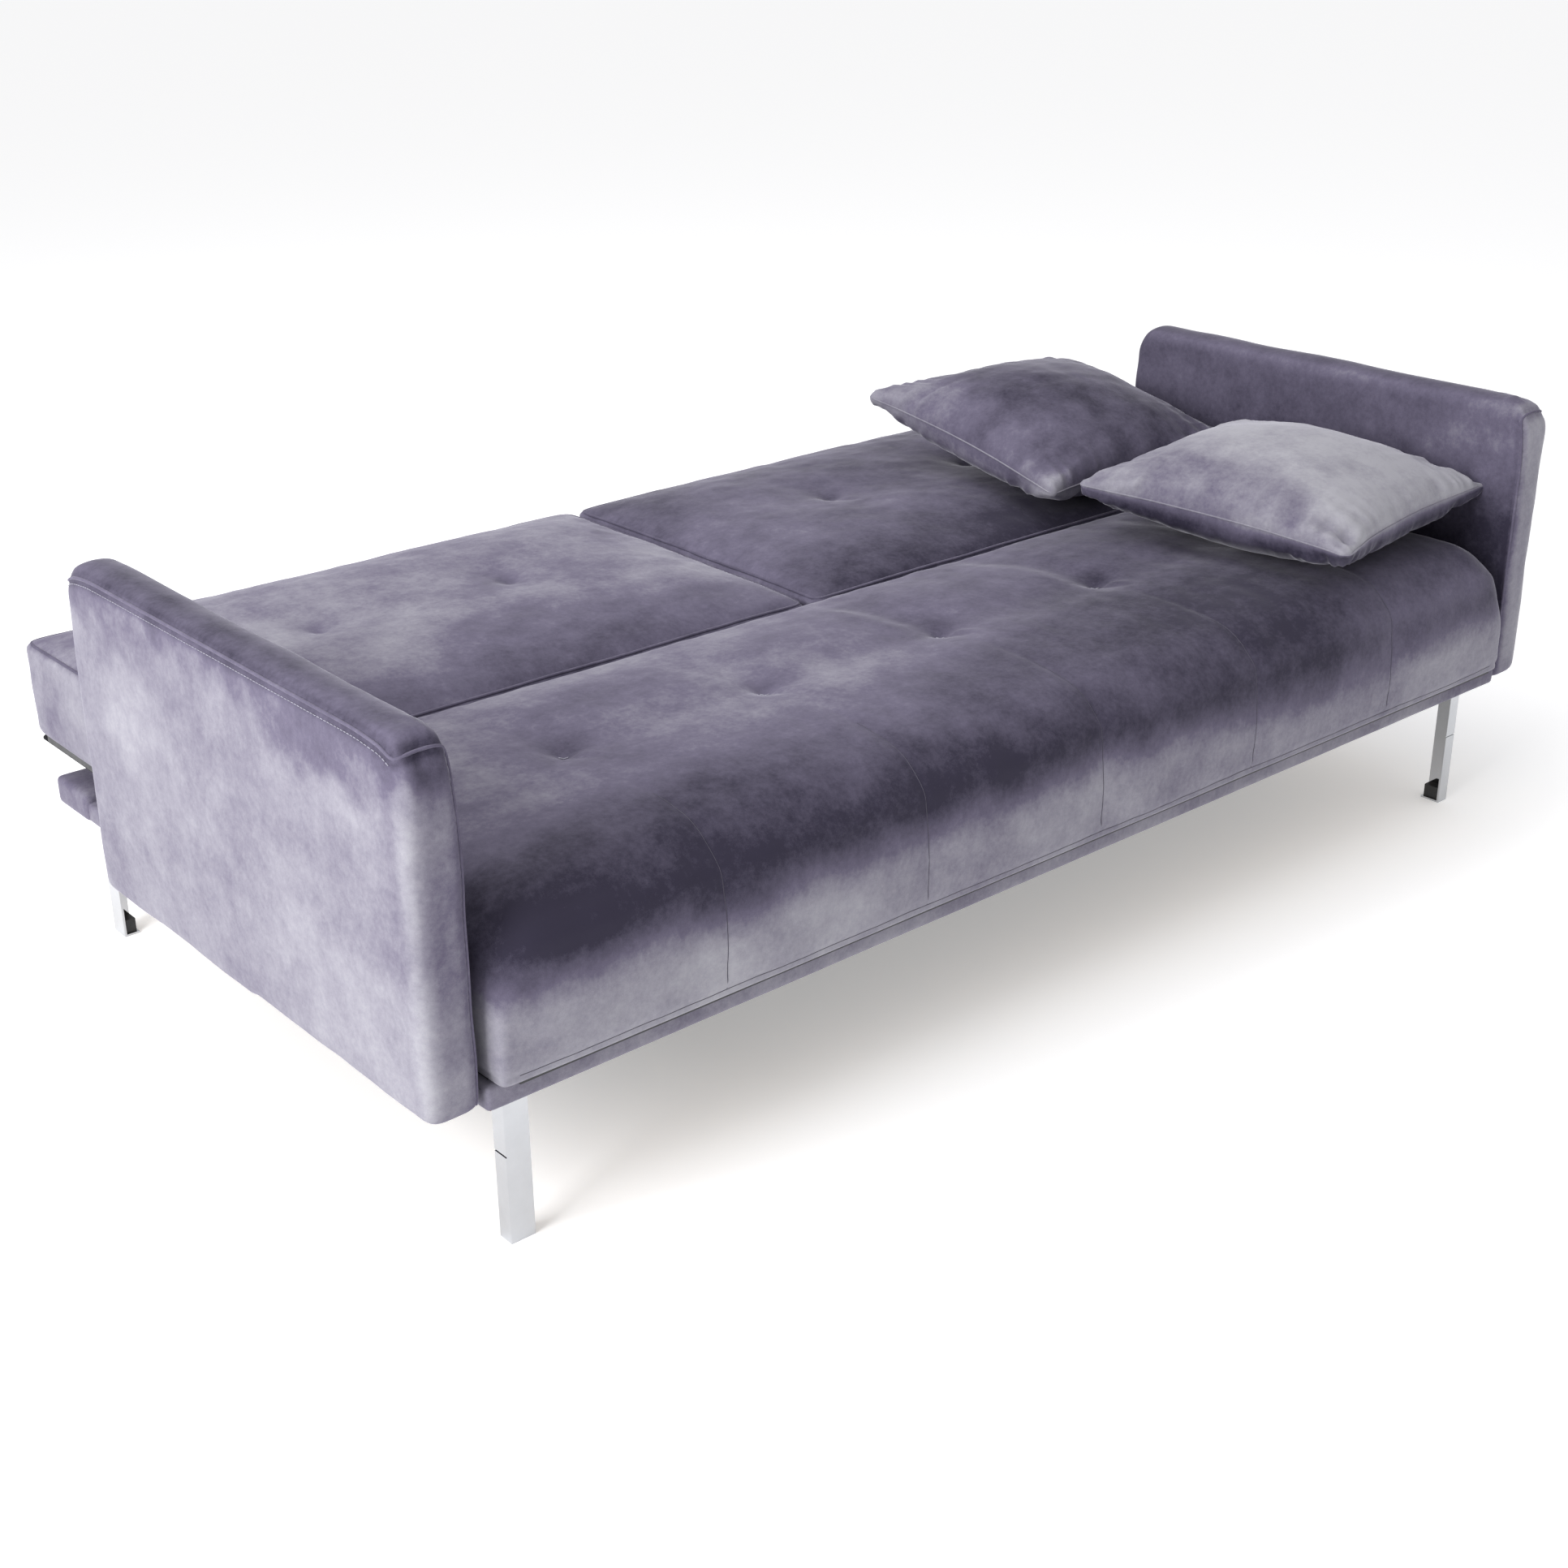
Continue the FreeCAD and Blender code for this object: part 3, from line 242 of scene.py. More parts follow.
def tube(path, radius, sides=8, closed=False):
    """A round section carried along a path, with parallel-transported sides and closed ends."""
    path = np.asarray(path, float)
    ahead = np.roll(path, -1, axis=0) - path
    behind = path - np.roll(path, 1, axis=0)
    if not closed:
        ahead[-1] = behind[-1]
        behind[0] = ahead[0]
    along = ahead + behind
    along /= np.linalg.norm(along, axis=1, keepdims=True)
    side = np.cross(along[0], (0.31, 0.22, 0.93))
    sides_out = []
    for way in along:
        side = side - way * (side @ way)
        side = side / np.linalg.norm(side)
        sides_out.append(side)
    first = np.array(sides_out)
    second = np.cross(along, first)
    angle = np.linspace(0, 2 * np.pi, sides, endpoint=False)[None, :, None]
    ring = np.cos(angle) * first[:, None] + np.sin(angle) * second[:, None]
    points = (path[:, None] + radius * ring).reshape(-1, 3)
    count = len(path)
    rows = count if closed else count - 1
    i, j = np.meshgrid(np.arange(rows), np.arange(sides), indexing="ij")
    after, beside = (i + 1) % count, (j + 1) % sides
    here, there = i * sides, after * sides
    quads = np.stack([here + j, here + beside, there + beside, there + j], axis=-1)
    faces = quads.reshape(-1, 4).tolist()
    if not closed:
        faces.append(list(range(sides))[::-1])
        faces.append(list(range((count - 1) * sides, count * sides)))
    return points, faces


def joined(parts):
    """Several (points, faces) pairs as one."""
    points, faces, offset = [], [], 0
    for some_points, some_faces in parts:
        points.append(some_points)
        faces += [[index + offset for index in face] for face in some_faces]
        offset += len(some_points)
    return np.concatenate(points), faces


def even_path(path, step):
    """The same path with points a step apart along it."""
    path = np.asarray(path, float)
    runs = np.concatenate([[0], np.cumsum(np.linalg.norm(np.diff(path, axis=0), axis=1))])
    places = np.arange(0, runs[-1], step)
    return np.column_stack([np.interp(places, runs, path[:, axis]) for axis in range(3)])


def stitch_row(path):
    """Short straight thread bars along a path, with a gap after each."""
    points = even_path(path, STITCH_LENGTH + STITCH_GAP)
    along = np.diff(points, axis=0)
    along /= np.linalg.norm(along, axis=1, keepdims=True)
    bars = []
    for start, way in zip(points[:-1], along):
        middle = start + way * STITCH_LENGTH / 2
        bars.append(tube([start, middle, start + way * STITCH_LENGTH], STITCH_RADIUS, sides=5))
    return joined(bars)


# ---- cloth
def swell(piece, pressure, frames, pinned, stiffness, bending, cap):
    """Blow a cover up from inside with the cloth solver, while the pinned points hold still.

    How far a point moves is then cut to the cap and evened out with its neighbours.
    """
    before = get_points(piece)
    cloth = piece.modifiers.new("Cloth", "CLOTH")
    settings = cloth.settings
    settings.quality = 5
    settings.mass = 0.25
    settings.tension_stiffness = stiffness
    settings.compression_stiffness = stiffness
    settings.shear_stiffness = stiffness / 2
    settings.bending_stiffness = bending
    settings.use_pressure = True
    settings.uniform_pressure_force = pressure
    settings.effector_weights.gravity = 0
    cloth.collision_settings.use_collision = False
    group = piece.vertex_groups.new(name="pinned")
    group.add(np.nonzero(pinned)[0].tolist(), 1.0, "REPLACE")
    settings.vertex_group_mass = "pinned"
    settings.pin_stiffness = 1.0
    cloth.point_cache.frame_start = 1
    cloth.point_cache.frame_end = frames
    for step in range(1, frames + 1):
        bpy.context.scene.frame_set(step)
    depsgraph = bpy.context.evaluated_depsgraph_get()
    after = get_points(piece.evaluated_get(depsgraph))
    piece.modifiers.clear()
    bpy.context.scene.frame_set(1)
    move = after - before
    length = np.linalg.norm(move, axis=1, keepdims=True)
    capped = move * np.minimum(1, cap / np.maximum(length, 1e-9))
    set_points(piece, before + even_out(piece, capped, EVENING_PASSES))


def even_out(piece, field, passes):
    """Each value moves half way to the mean of its neighbours along the edges, some times over."""
    flat = np.empty(len(piece.data.edges) * 2, np.int32)
    piece.data.edges.foreach_get("vertices", flat)
    one, two = flat.reshape(-1, 2).T
    count = np.bincount(flat, minlength=len(field)).reshape(-1, 1)
    for _ in range(passes):
        total = np.zeros_like(field)
        for axis in range(field.shape[1]):
            total[:, axis] += np.bincount(one, field[two, axis], len(field))
            total[:, axis] += np.bincount(two, field[one, axis], len(field))
        field = (field + total / np.maximum(count, 1)) / 2
    return field


# ---- materials
def new_material(name):
    """A material whose only nodes are one shader and its output."""
    material = bpy.data.materials.new(name)
    material.use_nodes = True
    nodes = material.node_tree.nodes
    nodes.clear()
    output = nodes.new("ShaderNodeOutputMaterial")
    shader = nodes.new("ShaderNodeBsdfPrincipled")
    material.node_tree.links.new(shader.outputs["BSDF"], output.inputs["Surface"])
    return material, nodes, material.node_tree.links, shader


def noise(nodes, links, coordinate, scale, detail, roughness):
    """Cloudy noise from 0 to 1, with a scale in clouds to the metre."""
    texture = nodes.new("ShaderNodeTexNoise")
    texture.inputs["Scale"].default_value = scale
    texture.inputs["Detail"].default_value = detail
    texture.inputs["Roughness"].default_value = roughness
    links.new(coordinate, texture.inputs["Vector"])
    return texture.outputs["Fac"]


def ramp(nodes, links, value, stops):
    """Colours at places along a value from 0 to 1."""
    node = nodes.new("ShaderNodeValToRGB")
    elements = node.color_ramp.elements
    while len(elements) < len(stops):
        elements.new(0.5)
    for element, (place, colour) in zip(elements, stops):
        element.position = place
        element.color = (*colour, 1)
    links.new(value, node.inputs["Fac"])
    return node.outputs["Color"]


def combine(nodes, links, first, second, kind, added=None):
    """One step of arithmetic on two values; a multiply-and-add takes a third."""
    node = nodes.new("ShaderNodeMath")
    node.operation = kind
    links.new(first, node.inputs[0])
    if isinstance(second, float):
        node.inputs[1].default_value = second
    else:
        links.new(second, node.inputs[1])
    if added is not None:
        node.inputs[2].default_value = added
    return node.outputs["Value"]


def bump(nodes, links, height, distance, strength=1.0, before=None):
    """Fine relief from a height, on top of an earlier relief if there is one."""
    node = nodes.new("ShaderNodeBump")
    node.inputs["Distance"].default_value = distance
    node.inputs["Strength"].default_value = strength
    links.new(height, node.inputs["Height"])
    if before is not None:
        links.new(before, node.inputs["Normal"])
    return node.outputs["Normal"]


# Shaded, middle and lit copies of the velvet's colour, picked by the painted sheen and shade.
VELVET_DARK = (0.026, 0.022, 0.042)
VELVET_MID = (0.118, 0.105, 0.158)
VELVET_LIGHT = (0.348, 0.342, 0.380)
VELVET_SHEEN = (0.84, 0.83, 0.92, 1)


def velvet():
    """Short pile: the colour follows the painted sheen and shade on each point, with blotches, streaks, grain
    and a pale sheen.

    Each noise, less its middle value, is added to the painted sheen and shade in its share before the colour
    is chosen.
    """
    material, nodes, links, shader = new_material("grey_violet_velvet")
    coordinate = nodes.new("ShaderNodeTexCoord").outputs["Object"]
    # The painted sheen and shade stored on each point.
    painted_sheen_shade = nodes.new("ShaderNodeAttribute")
    painted_sheen_shade.attribute_name = "painted_sheen_shade"
    blotch = noise(nodes, links, coordinate, 6.0, 7.0, 0.60)
    mottle = noise(nodes, links, coordinate, 25.0, 6.0, 0.68)
    brush = noise(nodes, links, coordinate, 150.0, 3.0, 0.6)
    streak_map = nodes.new("ShaderNodeMapping")
    streak_map.inputs["Scale"].default_value = (72, 60, 46)
    links.new(coordinate, streak_map.inputs["Vector"])
    streak = noise(nodes, links, streak_map.outputs["Vector"], 1.0, 4.0, 0.65)
    pile = noise(nodes, links, coordinate, 900.0, 2.0, 0.6)
    value = painted_sheen_shade.outputs["Fac"]
    for texture, share in ((blotch, 0.36), (streak, 0.18), (mottle, 0.40), (brush, 0.24), (pile, 0.18)):
        centred = combine(nodes, links, texture, share, "MULTIPLY_ADD", -share / 2)
        value = combine(nodes, links, value, centred, "ADD")
    stops = ((0.0, VELVET_DARK), (0.45, VELVET_MID), (1.0, VELVET_LIGHT))
    links.new(ramp(nodes, links, value, stops), shader.inputs["Base Color"])
    shader.inputs["Roughness"].default_value = 0.82
    shader.inputs["Specular IOR Level"].default_value = 0.25
    shader.inputs["Sheen Weight"].default_value = 0.40
    shader.inputs["Sheen Roughness"].default_value = 0.30
    shader.inputs["Sheen Tint"].default_value = VELVET_SHEEN
    soft = bump(nodes, links, streak, 0.6 * MM, 0.5)
    links.new(bump(nodes, links, pile, 0.25 * MM, 0.5, soft), shader.inputs["Normal"])
    return material


def thread(name, colour):
    """Twisted sewing thread: fine bands, with painted shade making the twist darker than the top."""
    material, nodes, links, shader = new_material(name)
    coordinate = nodes.new("ShaderNodeTexCoord").outputs["Object"]
    twist = nodes.new("ShaderNodeTexWave")
    twist.inputs["Scale"].default_value = 700.0
    twist.inputs["Distortion"].default_value = 2.0
    links.new(coordinate, twist.inputs["Vector"])
    # Painted shade in the twist: the bands fall to seven tenths of the thread's colour there.
    dark = tuple(0.7 * channel for channel in colour)
    bands = ramp(nodes, links, twist.outputs["Fac"], ((0.0, dark), (1.0, colour)))
    links.new(bands, shader.inputs["Base Color"])
    shader.inputs["Roughness"].default_value = 0.6
    links.new(bump(nodes, links, twist.outputs["Fac"], 0.2 * MM), shader.inputs["Normal"])
    return material


def chrome():
    """Polished plate with faint handling smears."""
    material, nodes, links, shader = new_material("polished_chrome")
    coordinate = nodes.new("ShaderNodeTexCoord").outputs["Object"]
    smear = noise(nodes, links, coordinate, 22.0, 5.0, 0.6)
    tint = ramp(nodes, links, smear, ((0.0, (0.46, 0.47, 0.49)), (1.0, (0.58, 0.59, 0.61))))
    links.new(tint, shader.inputs["Base Color"])
    dullness = ramp(nodes, links, smear, ((0.3, (0.05,) * 3), (0.8, (0.13,) * 3)))
    links.new(dullness, shader.inputs["Roughness"])
    shader.inputs["Metallic"].default_value = 1.0
    links.new(bump(nodes, links, smear, 0.05 * MM, 0.3), shader.inputs["Normal"])
    return material


def metal(name, light, dark, roughness, metallic):
    """Plated or powder-coated steel with a fine mottle and a little wear."""
    material, nodes, links, shader = new_material(name)
    coordinate = nodes.new("ShaderNodeTexCoord").outputs["Object"]
    mottle = noise(nodes, links, coordinate, 60.0, 5.0, 0.6)
    grain = noise(nodes, links, coordinate, 1400.0, 2.0, 0.5)
    links.new(ramp(nodes, links, mottle, ((0.25, dark), (0.75, light))), shader.inputs["Base Color"])
    low, high = (roughness - 0.1,) * 3, (roughness + 0.15,) * 3
    links.new(ramp(nodes, links, mottle, ((0.2, low), (0.8, high))), shader.inputs["Roughness"])
    shader.inputs["Metallic"].default_value = metallic
    links.new(bump(nodes, links, grain, 0.05 * MM, 0.5), shader.inputs["Normal"])
    return material


def timber():
    """Planed softwood: rings stretched along the rail, with pores."""
    material, nodes, links, shader = new_material("planed_softwood")
    coordinate = nodes.new("ShaderNodeTexCoord").outputs["Object"]
    stretch = nodes.new("ShaderNodeMapping")
    stretch.inputs["Scale"].default_value = (3, 26, 40)
    links.new(coordinate, stretch.inputs["Vector"])
    rings = noise(nodes, links, stretch.outputs["Vector"], 3.0, 6.0, 0.65)
    stops = ((0.25, (0.36, 0.22, 0.11)), (0.5, (0.58, 0.40, 0.22)), (0.75, (0.68, 0.50, 0.30)))
    links.new(ramp(nodes, links, rings, stops), shader.inputs["Base Color"])
    shader.inputs["Roughness"].default_value = 0.62
    links.new(bump(nodes, links, rings, 0.3 * MM, 0.6), shader.inputs["Normal"])
    return material


def cells(name, light, dark, scale, depth, roughness):
    """Cut foam, moulded rubber or non-woven cloth: small cells with a bump."""
    material, nodes, links, shader = new_material(name)
    coordinate = nodes.new("ShaderNodeTexCoord").outputs["Object"]
    texture = nodes.new("ShaderNodeTexVoronoi")
    texture.inputs["Scale"].default_value = scale
    links.new(coordinate, texture.inputs["Vector"])
    cloud = noise(nodes, links, coordinate, scale / 12, 3.0, 0.6)
    value = combine(nodes, links, texture.outputs["Distance"], cloud, "MULTIPLY")
    links.new(ramp(nodes, links, value, ((0.0, dark), (0.45, light))), shader.inputs["Base Color"])
    shader.inputs["Roughness"].default_value = roughness
    links.new(bump(nodes, links, texture.outputs["Distance"], depth, 0.7), shader.inputs["Normal"])
    return material


VELVET = velvet()
PALE_THREAD = thread("pale_thread", (0.45, 0.44, 0.53))
DARK_THREAD = thread("dark_thread", (0.075, 0.068, 0.10))
SLOT_FINISH = {
    "velvet": VELVET,
    "steel": metal("zinc_plated_steel", (0.62, 0.62, 0.60), (0.42, 0.42, 0.42), 0.35, 1.0),
    "dark_steel": metal("black_powder_coat", (0.030, 0.030, 0.033), (0.014, 0.014, 0.016), 0.45, 0.0),
    "chrome": chrome(),
    "timber": timber(),
    "foam": cells("cut_foam", (0.80, 0.72, 0.48), (0.50, 0.42, 0.24), 420.0, 0.6 * MM, 0.95),
    "lining": cells("black_lining_cloth", (0.022, 0.022, 0.025), (0.008, 0.008, 0.009), 650.0, 0.2 * MM, 0.9),
    "black_plastic": cells("moulded_nylon", (0.020, 0.020, 0.021), (0.012,) * 3, 500.0, 0.05 * MM, 0.5),
    "rubber": cells("moulded_rubber", (0.030,) * 3, (0.015,) * 3, 300.0, 0.1 * MM, 0.8),
}


# ---- finishes and bodies
def finish_frame():
    """Give every CAD node that stays the finish of its slot."""
    for entry in frame["record"]["subparts"]:
        piece = frame["nodes"][entry["node"]]
        piece.data.materials.clear()
        piece.data.materials.append(SLOT_FINISH[entry["material_slot"]])


def dress(piece, body, material, slot, *replaced):
    """Material, body and the CAD nodes that a finished piece stands for; the slot argument is not used."""
    piece.data.materials.clear()
    piece.data.materials.append(material)
    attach(piece, body)
    if replaced:
        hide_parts(*replaced)
    return piece


# ---- seat
# How much each axis is stretched in the fine creases: longer along x than along y.
CREASE_GRAIN = np.array([0.6, 1.5, 1.2])


def tuft_dimples(points, centres, depth, width):
    """A pulled-down well at each tuft: a sharp pinch inside a soft dip that fades exponentially."""
    pinch, dip = 0.45, 0.55
    sink = np.zeros(len(points))
    for x, y in centres:
        distance = np.hypot(points[:, 0] - x, points[:, 1] - y)
        well = pinch * bell(distance, width * 0.3) + dip * np.exp(-distance / width)
        sink = np.maximum(sink, depth * well)
    return sink


def pull_lines(points, centres, depth, reach):
    """A crease from each tuft towards the rear, and a short lifted fold ahead of it.

    The crease is a bell across a curved line, steeper on its left than on its right, that starts
    gently and dies out with distance. The fold is a raised bell beside a smaller sunk one.
    """
    steep, easy = 0.028, 0.045
    sink = np.zeros(len(points))
    for index, (x, y) in enumerate(centres):
        back = points[:, 1] - y
        rearward = np.clip(back, 0, 1)
        line = x - 0.10 * rearward - 0.9 * rearward**2 * (1 + 0.3 * np.sin(2.3 * index))
        off = points[:, 0] - line
        profile = np.where(off < 0, bell(off, steep), bell(off, easy))
        sink += depth * profile * smooth(back, -0.06, 0.07) * (1 - smooth(back, reach * 0.2, reach))
        ahead = -back
        lip = points[:, 0] - x - 0.55 * ahead
        fold = bell(lip - 0.006, 0.010) - 0.8 * bell(lip + 0.010, 0.010)
        sink -= 0.30 * depth * fold * smooth(ahead, 0.004, 0.02) * (1 - smooth(ahead, 0.02, 0.06))
    return sink


def near_tufts(points, centres):
    """Which points lie within the held radius of a tuft, seen from above."""
    near = np.zeros(len(points), bool)
    for x, y in centres:
        near |= np.hypot(points[:, 0] - x, points[:, 1] - y) < TUFT_HOLD
    return near


def seat_piece():
    """A box cushion: rolled front, crowned top, sewn panels on the front and five tufts.

    A rounded box whose radii grow with height, with its top lifted by one minus powers of the
    places across and along, and its front panels puffed by a cosine's power between the seams.
    """
    low, high = SEAT_LOW.copy(), SEAT_HIGH.copy()
    inner = grid_lines(0, 2 * TUFT_PITCH, TUFT_PITCH / 27)
    left_end = grid_lines(low[0], -2 * TUFT_PITCH, CUSHION_STEP)
    right_end = grid_lines(2 * TUFT_PITCH, high[0], CUSHION_STEP)
    xs = np.unique(np.concatenate([-inner, inner, left_end, right_end]).round(7))
    ys = grid_lines(low[1], high[1], CUSHION_STEP)
    zs = grid_lines(low[2], high[2], CUSHION_STEP)
    points, quads, ids = lattice_shell(xs, ys, zs)
    lift = smooth(points[:, 2], low[2] + 0.05, high[2])
    front = points[:, 1] < (low[1] + high[1]) / 2
    radius_y = np.where(front, 6 * MM + 62 * MM * lift, 8 * MM + 14 * MM * lift)
    radius_z = np.where(points[:, 2] < (low[2] + high[2]) / 2, 5 * MM, radius_y)
    radius_x = 8 * MM + 68 * MM * lift
    points = round_slab(points, low, high, np.column_stack([radius_x, radius_y, radius_z]))
    centres = [(n * TUFT_PITCH, SEAT_TUFT_Y) for n in SEAT_TUFTS]
    share = np.clip((points[:, 2] - low[2]) / (high[2] - low[2]), 0, 1)
    top = smooth(share, 0.55, 1.0)
    across = (points[:, 1] - low[1]) / (high[1] - low[1])
    along = points[:, 0] / high[0]
    crown = (1 - np.abs(2 * across - 1) ** 2.6) * (1 - np.abs(along) ** 8)
    points[:, 2] += top * (CROWN * crown - 6 * MM)
    points[:, 2] -= top * tuft_dimples(points, centres, 18 * MM, TUFT_WIDTH)
    panel = np.abs(np.cos(np.pi * points[:, 0] / TUFT_PITCH))
    puff = 1 - panel**6
    front_face = 1 - smooth(across, 0.0, 0.10)
    middle_height = smooth(share, 0.0, 0.12) * (1 - smooth(share, 0.85, 1.0))
    points[:, 1] -= front_face * middle_height * (3 * MM * puff)
    piece = make_mesh("seat_cushion", points, quads)
    held = (points[:, 2] < low[2] + HEM_HOLD) | (near_tufts(points, centres) & (share > 0.7))
    swell(piece, pressure=1.6, frames=14, pinned=held, stiffness=18, bending=0.8, cap=5 * MM)
    points = get_points(piece)
    points[:, 1] = np.clip(points[:, 1], low[1] - 9 * MM, high[1] + 3 * MM)
    points[:, 0] = np.clip(points[:, 0], low[0] - 3 * MM, high[0] + 3 * MM)
    set_points(piece, points)
    seam_columns = [np.argmin(np.abs(xs - n * TUFT_PITCH)) for n in SEAT_TUFTS]
    subdivide(piece)
    sew_seat(piece, low, high, centres)
    paths = [seam_path(piece, ids, column, SEAT_TUFT_Y) for column in seam_columns]
    paths.append(get_points(piece)[ids[2:-2, 0, 1]])
    return piece, paths


def sew_seat(piece, low, high, centres):
    """Seam grooves up the front and over the roll, creases round the tufts, a sewn hem, and the painted sheen
    and shade.

    A groove is a narrow bell inside a wide one, across the nearest seam.
    """
    points = get_points(piece)
    normals = get_normals(piece)
    share = (points[:, 2] - low[2]) / (high[2] - low[2])
    across = (points[:, 1] - low[1]) / (high[1] - low[1])
    offset = (points[:, 0] + TUFT_PITCH / 2) % TUFT_PITCH - TUFT_PITCH / 2
    inner = np.abs(points[:, 0]) < 2.4 * TUFT_PITCH
    fade = 1 - smooth(points[:, 1], SEAT_TUFT_Y - 0.20, SEAT_TUFT_Y - 0.02)
    groove = inner * fade * (1.3 * MM * bell(offset, 5 * MM) + 0.9 * MM * bell(offset, 22 * MM))
    points -= normals * (groove * smooth(share, 0.06, 0.16))[:, None]
    upper = smooth(share, 0.75, 0.92)
    points[:, 2] -= upper * pull_lines(points, centres, 7.0 * MM, 0.24)
    loose = 1.2 * MM * drift(points, 4, 0.19) + 0.55 * MM * drift(points * CREASE_GRAIN, 9, 0.055)
    points += normals * (loose * smooth(share, 0.0, 0.08))[:, None]
    hem = bell(points[:, 2] - low[2] - (high[2] - low[2]) / 18, 5 * MM) * smooth(0.2 - across, 0.0, 0.1)
    points -= normals * (hem * 2.2 * MM)[:, None]
    set_points(piece, points)
    set_painted_sheen_shade(piece, seat_sheen_shade(points, across, upper, centres))


def seat_sheen_shade(points, across, upper, centres):
    """Painted sheen and shade: light low on the front, dark over the roll, mid on top, darker towards the
    right arm and round the front pillow, with painted shade in the tufts.

    Each patch is a smooth step or a bell of the place, with its edges moved by a slow wave.
    """
    x, z = points[:, 0], points[:, 2]
    front = 1 - smooth(across, 0.12, 0.34)
    wave = 0.018 * drift(points, 8, 0.45)
    # Painted sheen: a dark band over the front roll, its edges moved by a slow wave.
    roll = bell(z - 0.372 + 0.03 * x - wave, 0.050 - 0.012 * x) * front
    # Painted light low on the front face.
    lower = (1 - smooth(z - wave, 0.29, 0.37)) * (1 - smooth(across, 0.05, 0.2))
    # A mid value with slow random swells; on the top, painted light towards the left and painted shade
    # towards the right.
    painted_sheen_shade = 0.38 + 0.12 * drift(points, 5, 0.42) + 0.06 * drift(points, 6, 0.13)
    painted_sheen_shade += 0.13 * smooth(-x, -0.15, 0.35) * upper - 0.15 * smooth(x, -0.1, 0.45) * upper
    painted_sheen_shade -= (0.36 - 0.12 * smooth(x, -0.2, 0.9)) * roll
    painted_sheen_shade += (0.45 - 0.14 * smooth(x, -0.4, 0.4)) * lower
    # Painted shade: the roll's dark band carried back along the front of the top.
    band = bell(points[:, 1] + 0.445 - 0.03 * x - wave, 0.085) * (1 - smooth(x, 0.3, 0.9))
    painted_sheen_shade -= 0.20 * band * upper
    # Painted sheen, lighter towards the rear of the top.
    painted_sheen_shade += 0.10 * smooth(across, 0.75, 0.98) * upper
    # Painted shadow on the top round the front pillow at the right end.
    painted_sheen_shade -= 0.20 * smooth(x, 0.40, 0.64) * smooth(points[:, 1], -0.47, -0.36) * upper
    # Painted shade in each tuft, set a little to the right of and behind its centre.
    for x_tuft, y_tuft in centres:
        distance = np.hypot(x - x_tuft - 0.012, points[:, 1] - y_tuft - 0.014)
        painted_sheen_shade -= 0.20 * bell(distance, 0.030) * upper
    return painted_sheen_shade


def seam_path(piece, ids, column, y_end):
    """The line up the front face and over the top to a tuft, on the finished cover."""
    points = get_points(piece)
    front = ids[column, 0, 1:]
    top = ids[column, :, -1]
    line = points[np.concatenate([front, top[1:]])]
    return line[line[:, 1] < y_end - 0.16]


def seat():
    """The seat's cover, the threads in its seams and the knot in each tuft."""
    piece, paths = seat_piece()
    dress(piece, "base", VELVET, "velvet", "seat_cover", "seat_foam", "seat_buttons")
    threads = joined([tube(even_path(path, 4 * MM), SEAM_RADIUS, 6) for path in paths])
    dress(make_mesh("seat_seam_threads", *threads), "base", DARK_THREAD, "velvet")
    pulls = [tuft_stitch(nearest_top(piece, n * TUFT_PITCH, SEAT_TUFT_Y)) for n in SEAT_TUFTS]
    dress(make_mesh("seat_tuft_stitches", *joined(pulls)), "base", PALE_THREAD, "velvet")


def nearest_top(piece, x, y):
    """The point on the cover's top that is nearest to a place, seen from above."""
    points = get_points(piece)
    too_low = np.where(points[:, 2] > 0.37, 0, 9)
    return points[np.argmin(np.hypot(points[:, 0] - x, points[:, 1] - y) + too_low)]


def tuft_stitch(spot):
    """One short bar of thread lying in the bottom of a tuft, with its ends higher than its middle."""
    half = np.array([0.8, -0.55, 0.0]) * 6 * MM
    lift = np.array([0, 0, 0.8 * MM])
    return tube([spot - half + lift * 3, spot + lift, spot + half + lift * 3], KNOT_RADIUS, 6)


# ---- backrest halves
def back_piece(name, side):
    """A box pad with two tufts, its top crowned inside a sewn rim by one minus powers of the place."""
    low, high = (corner.copy() for corner in BACK_BOXES[name])
    low[2] += 2 * MM
    lines = (grid_lines(low[axis], high[axis], CUSHION_STEP) for axis in range(3))
    points, quads, ids = lattice_shell(*lines)
    lift = smooth(points[:, 2], low[2] + 0.05, high[2])
    front = points[:, 1] < (low[1] + high[1]) / 2
    radius_y = np.where(front, 12 * MM + 18 * MM * lift, 20 * MM)
    radius_x = np.full(len(points), 18 * MM)
    top_radius = np.where(front, radius_y, 16 * MM)
    radius_z = np.where(points[:, 2] < (low[2] + high[2]) / 2, 12 * MM, top_radius)
    points = round_slab(points, low, high, np.column_stack([radius_x, radius_y, radius_z]))
    centres = [(side * n * TUFT_PITCH, BACK_TUFT_Y) for n in BACK_TUFTS]
    share = np.clip((points[:, 2] - low[2]) / (high[2] - low[2]), 0, 1)
    top = smooth(share, 0.75, 1.0)
    across = (points[:, 1] - low[1]) / (high[1] - low[1])
    along = (points[:, 0] - low[0]) / (high[0] - low[0])
    rim = (1 - np.abs(2 * across - 1) ** 4) * (1 - np.abs(2 * along - 1) ** 6)
    points[:, 2] += top * ((CROWN + 14 * MM) * rim - 19 * MM)
    points[:, 2] -= top * tuft_dimples(points, centres, 14 * MM, TUFT_WIDTH)
    points[:, 1] -= 4 * MM * smooth(-across, -0.08, 0.0) * bell(points[:, 2] - 0.352, 0.060)
    piece = make_mesh(f"{name}_back_pad", points, quads)
    held = (points[:, 2] < low[2] + HEM_HOLD) | (near_tufts(points, centres) & (share > 0.6))
    held[rim_ids(ids[:, :, -1])] = True
    swell(piece, pressure=1.4, frames=12, pinned=held, stiffness=18, bending=0.8, cap=5 * MM)
    subdivide(piece)
    sew_back(piece, low, high, centres, side)
    return piece, ids


def rim_ids(top):
    """The point numbers along the four edges of a grid, in order."""
    return np.concatenate([top[:, 0], top[-1, 1:], top[-2::-1, -1], top[0, -2:0:-1]])


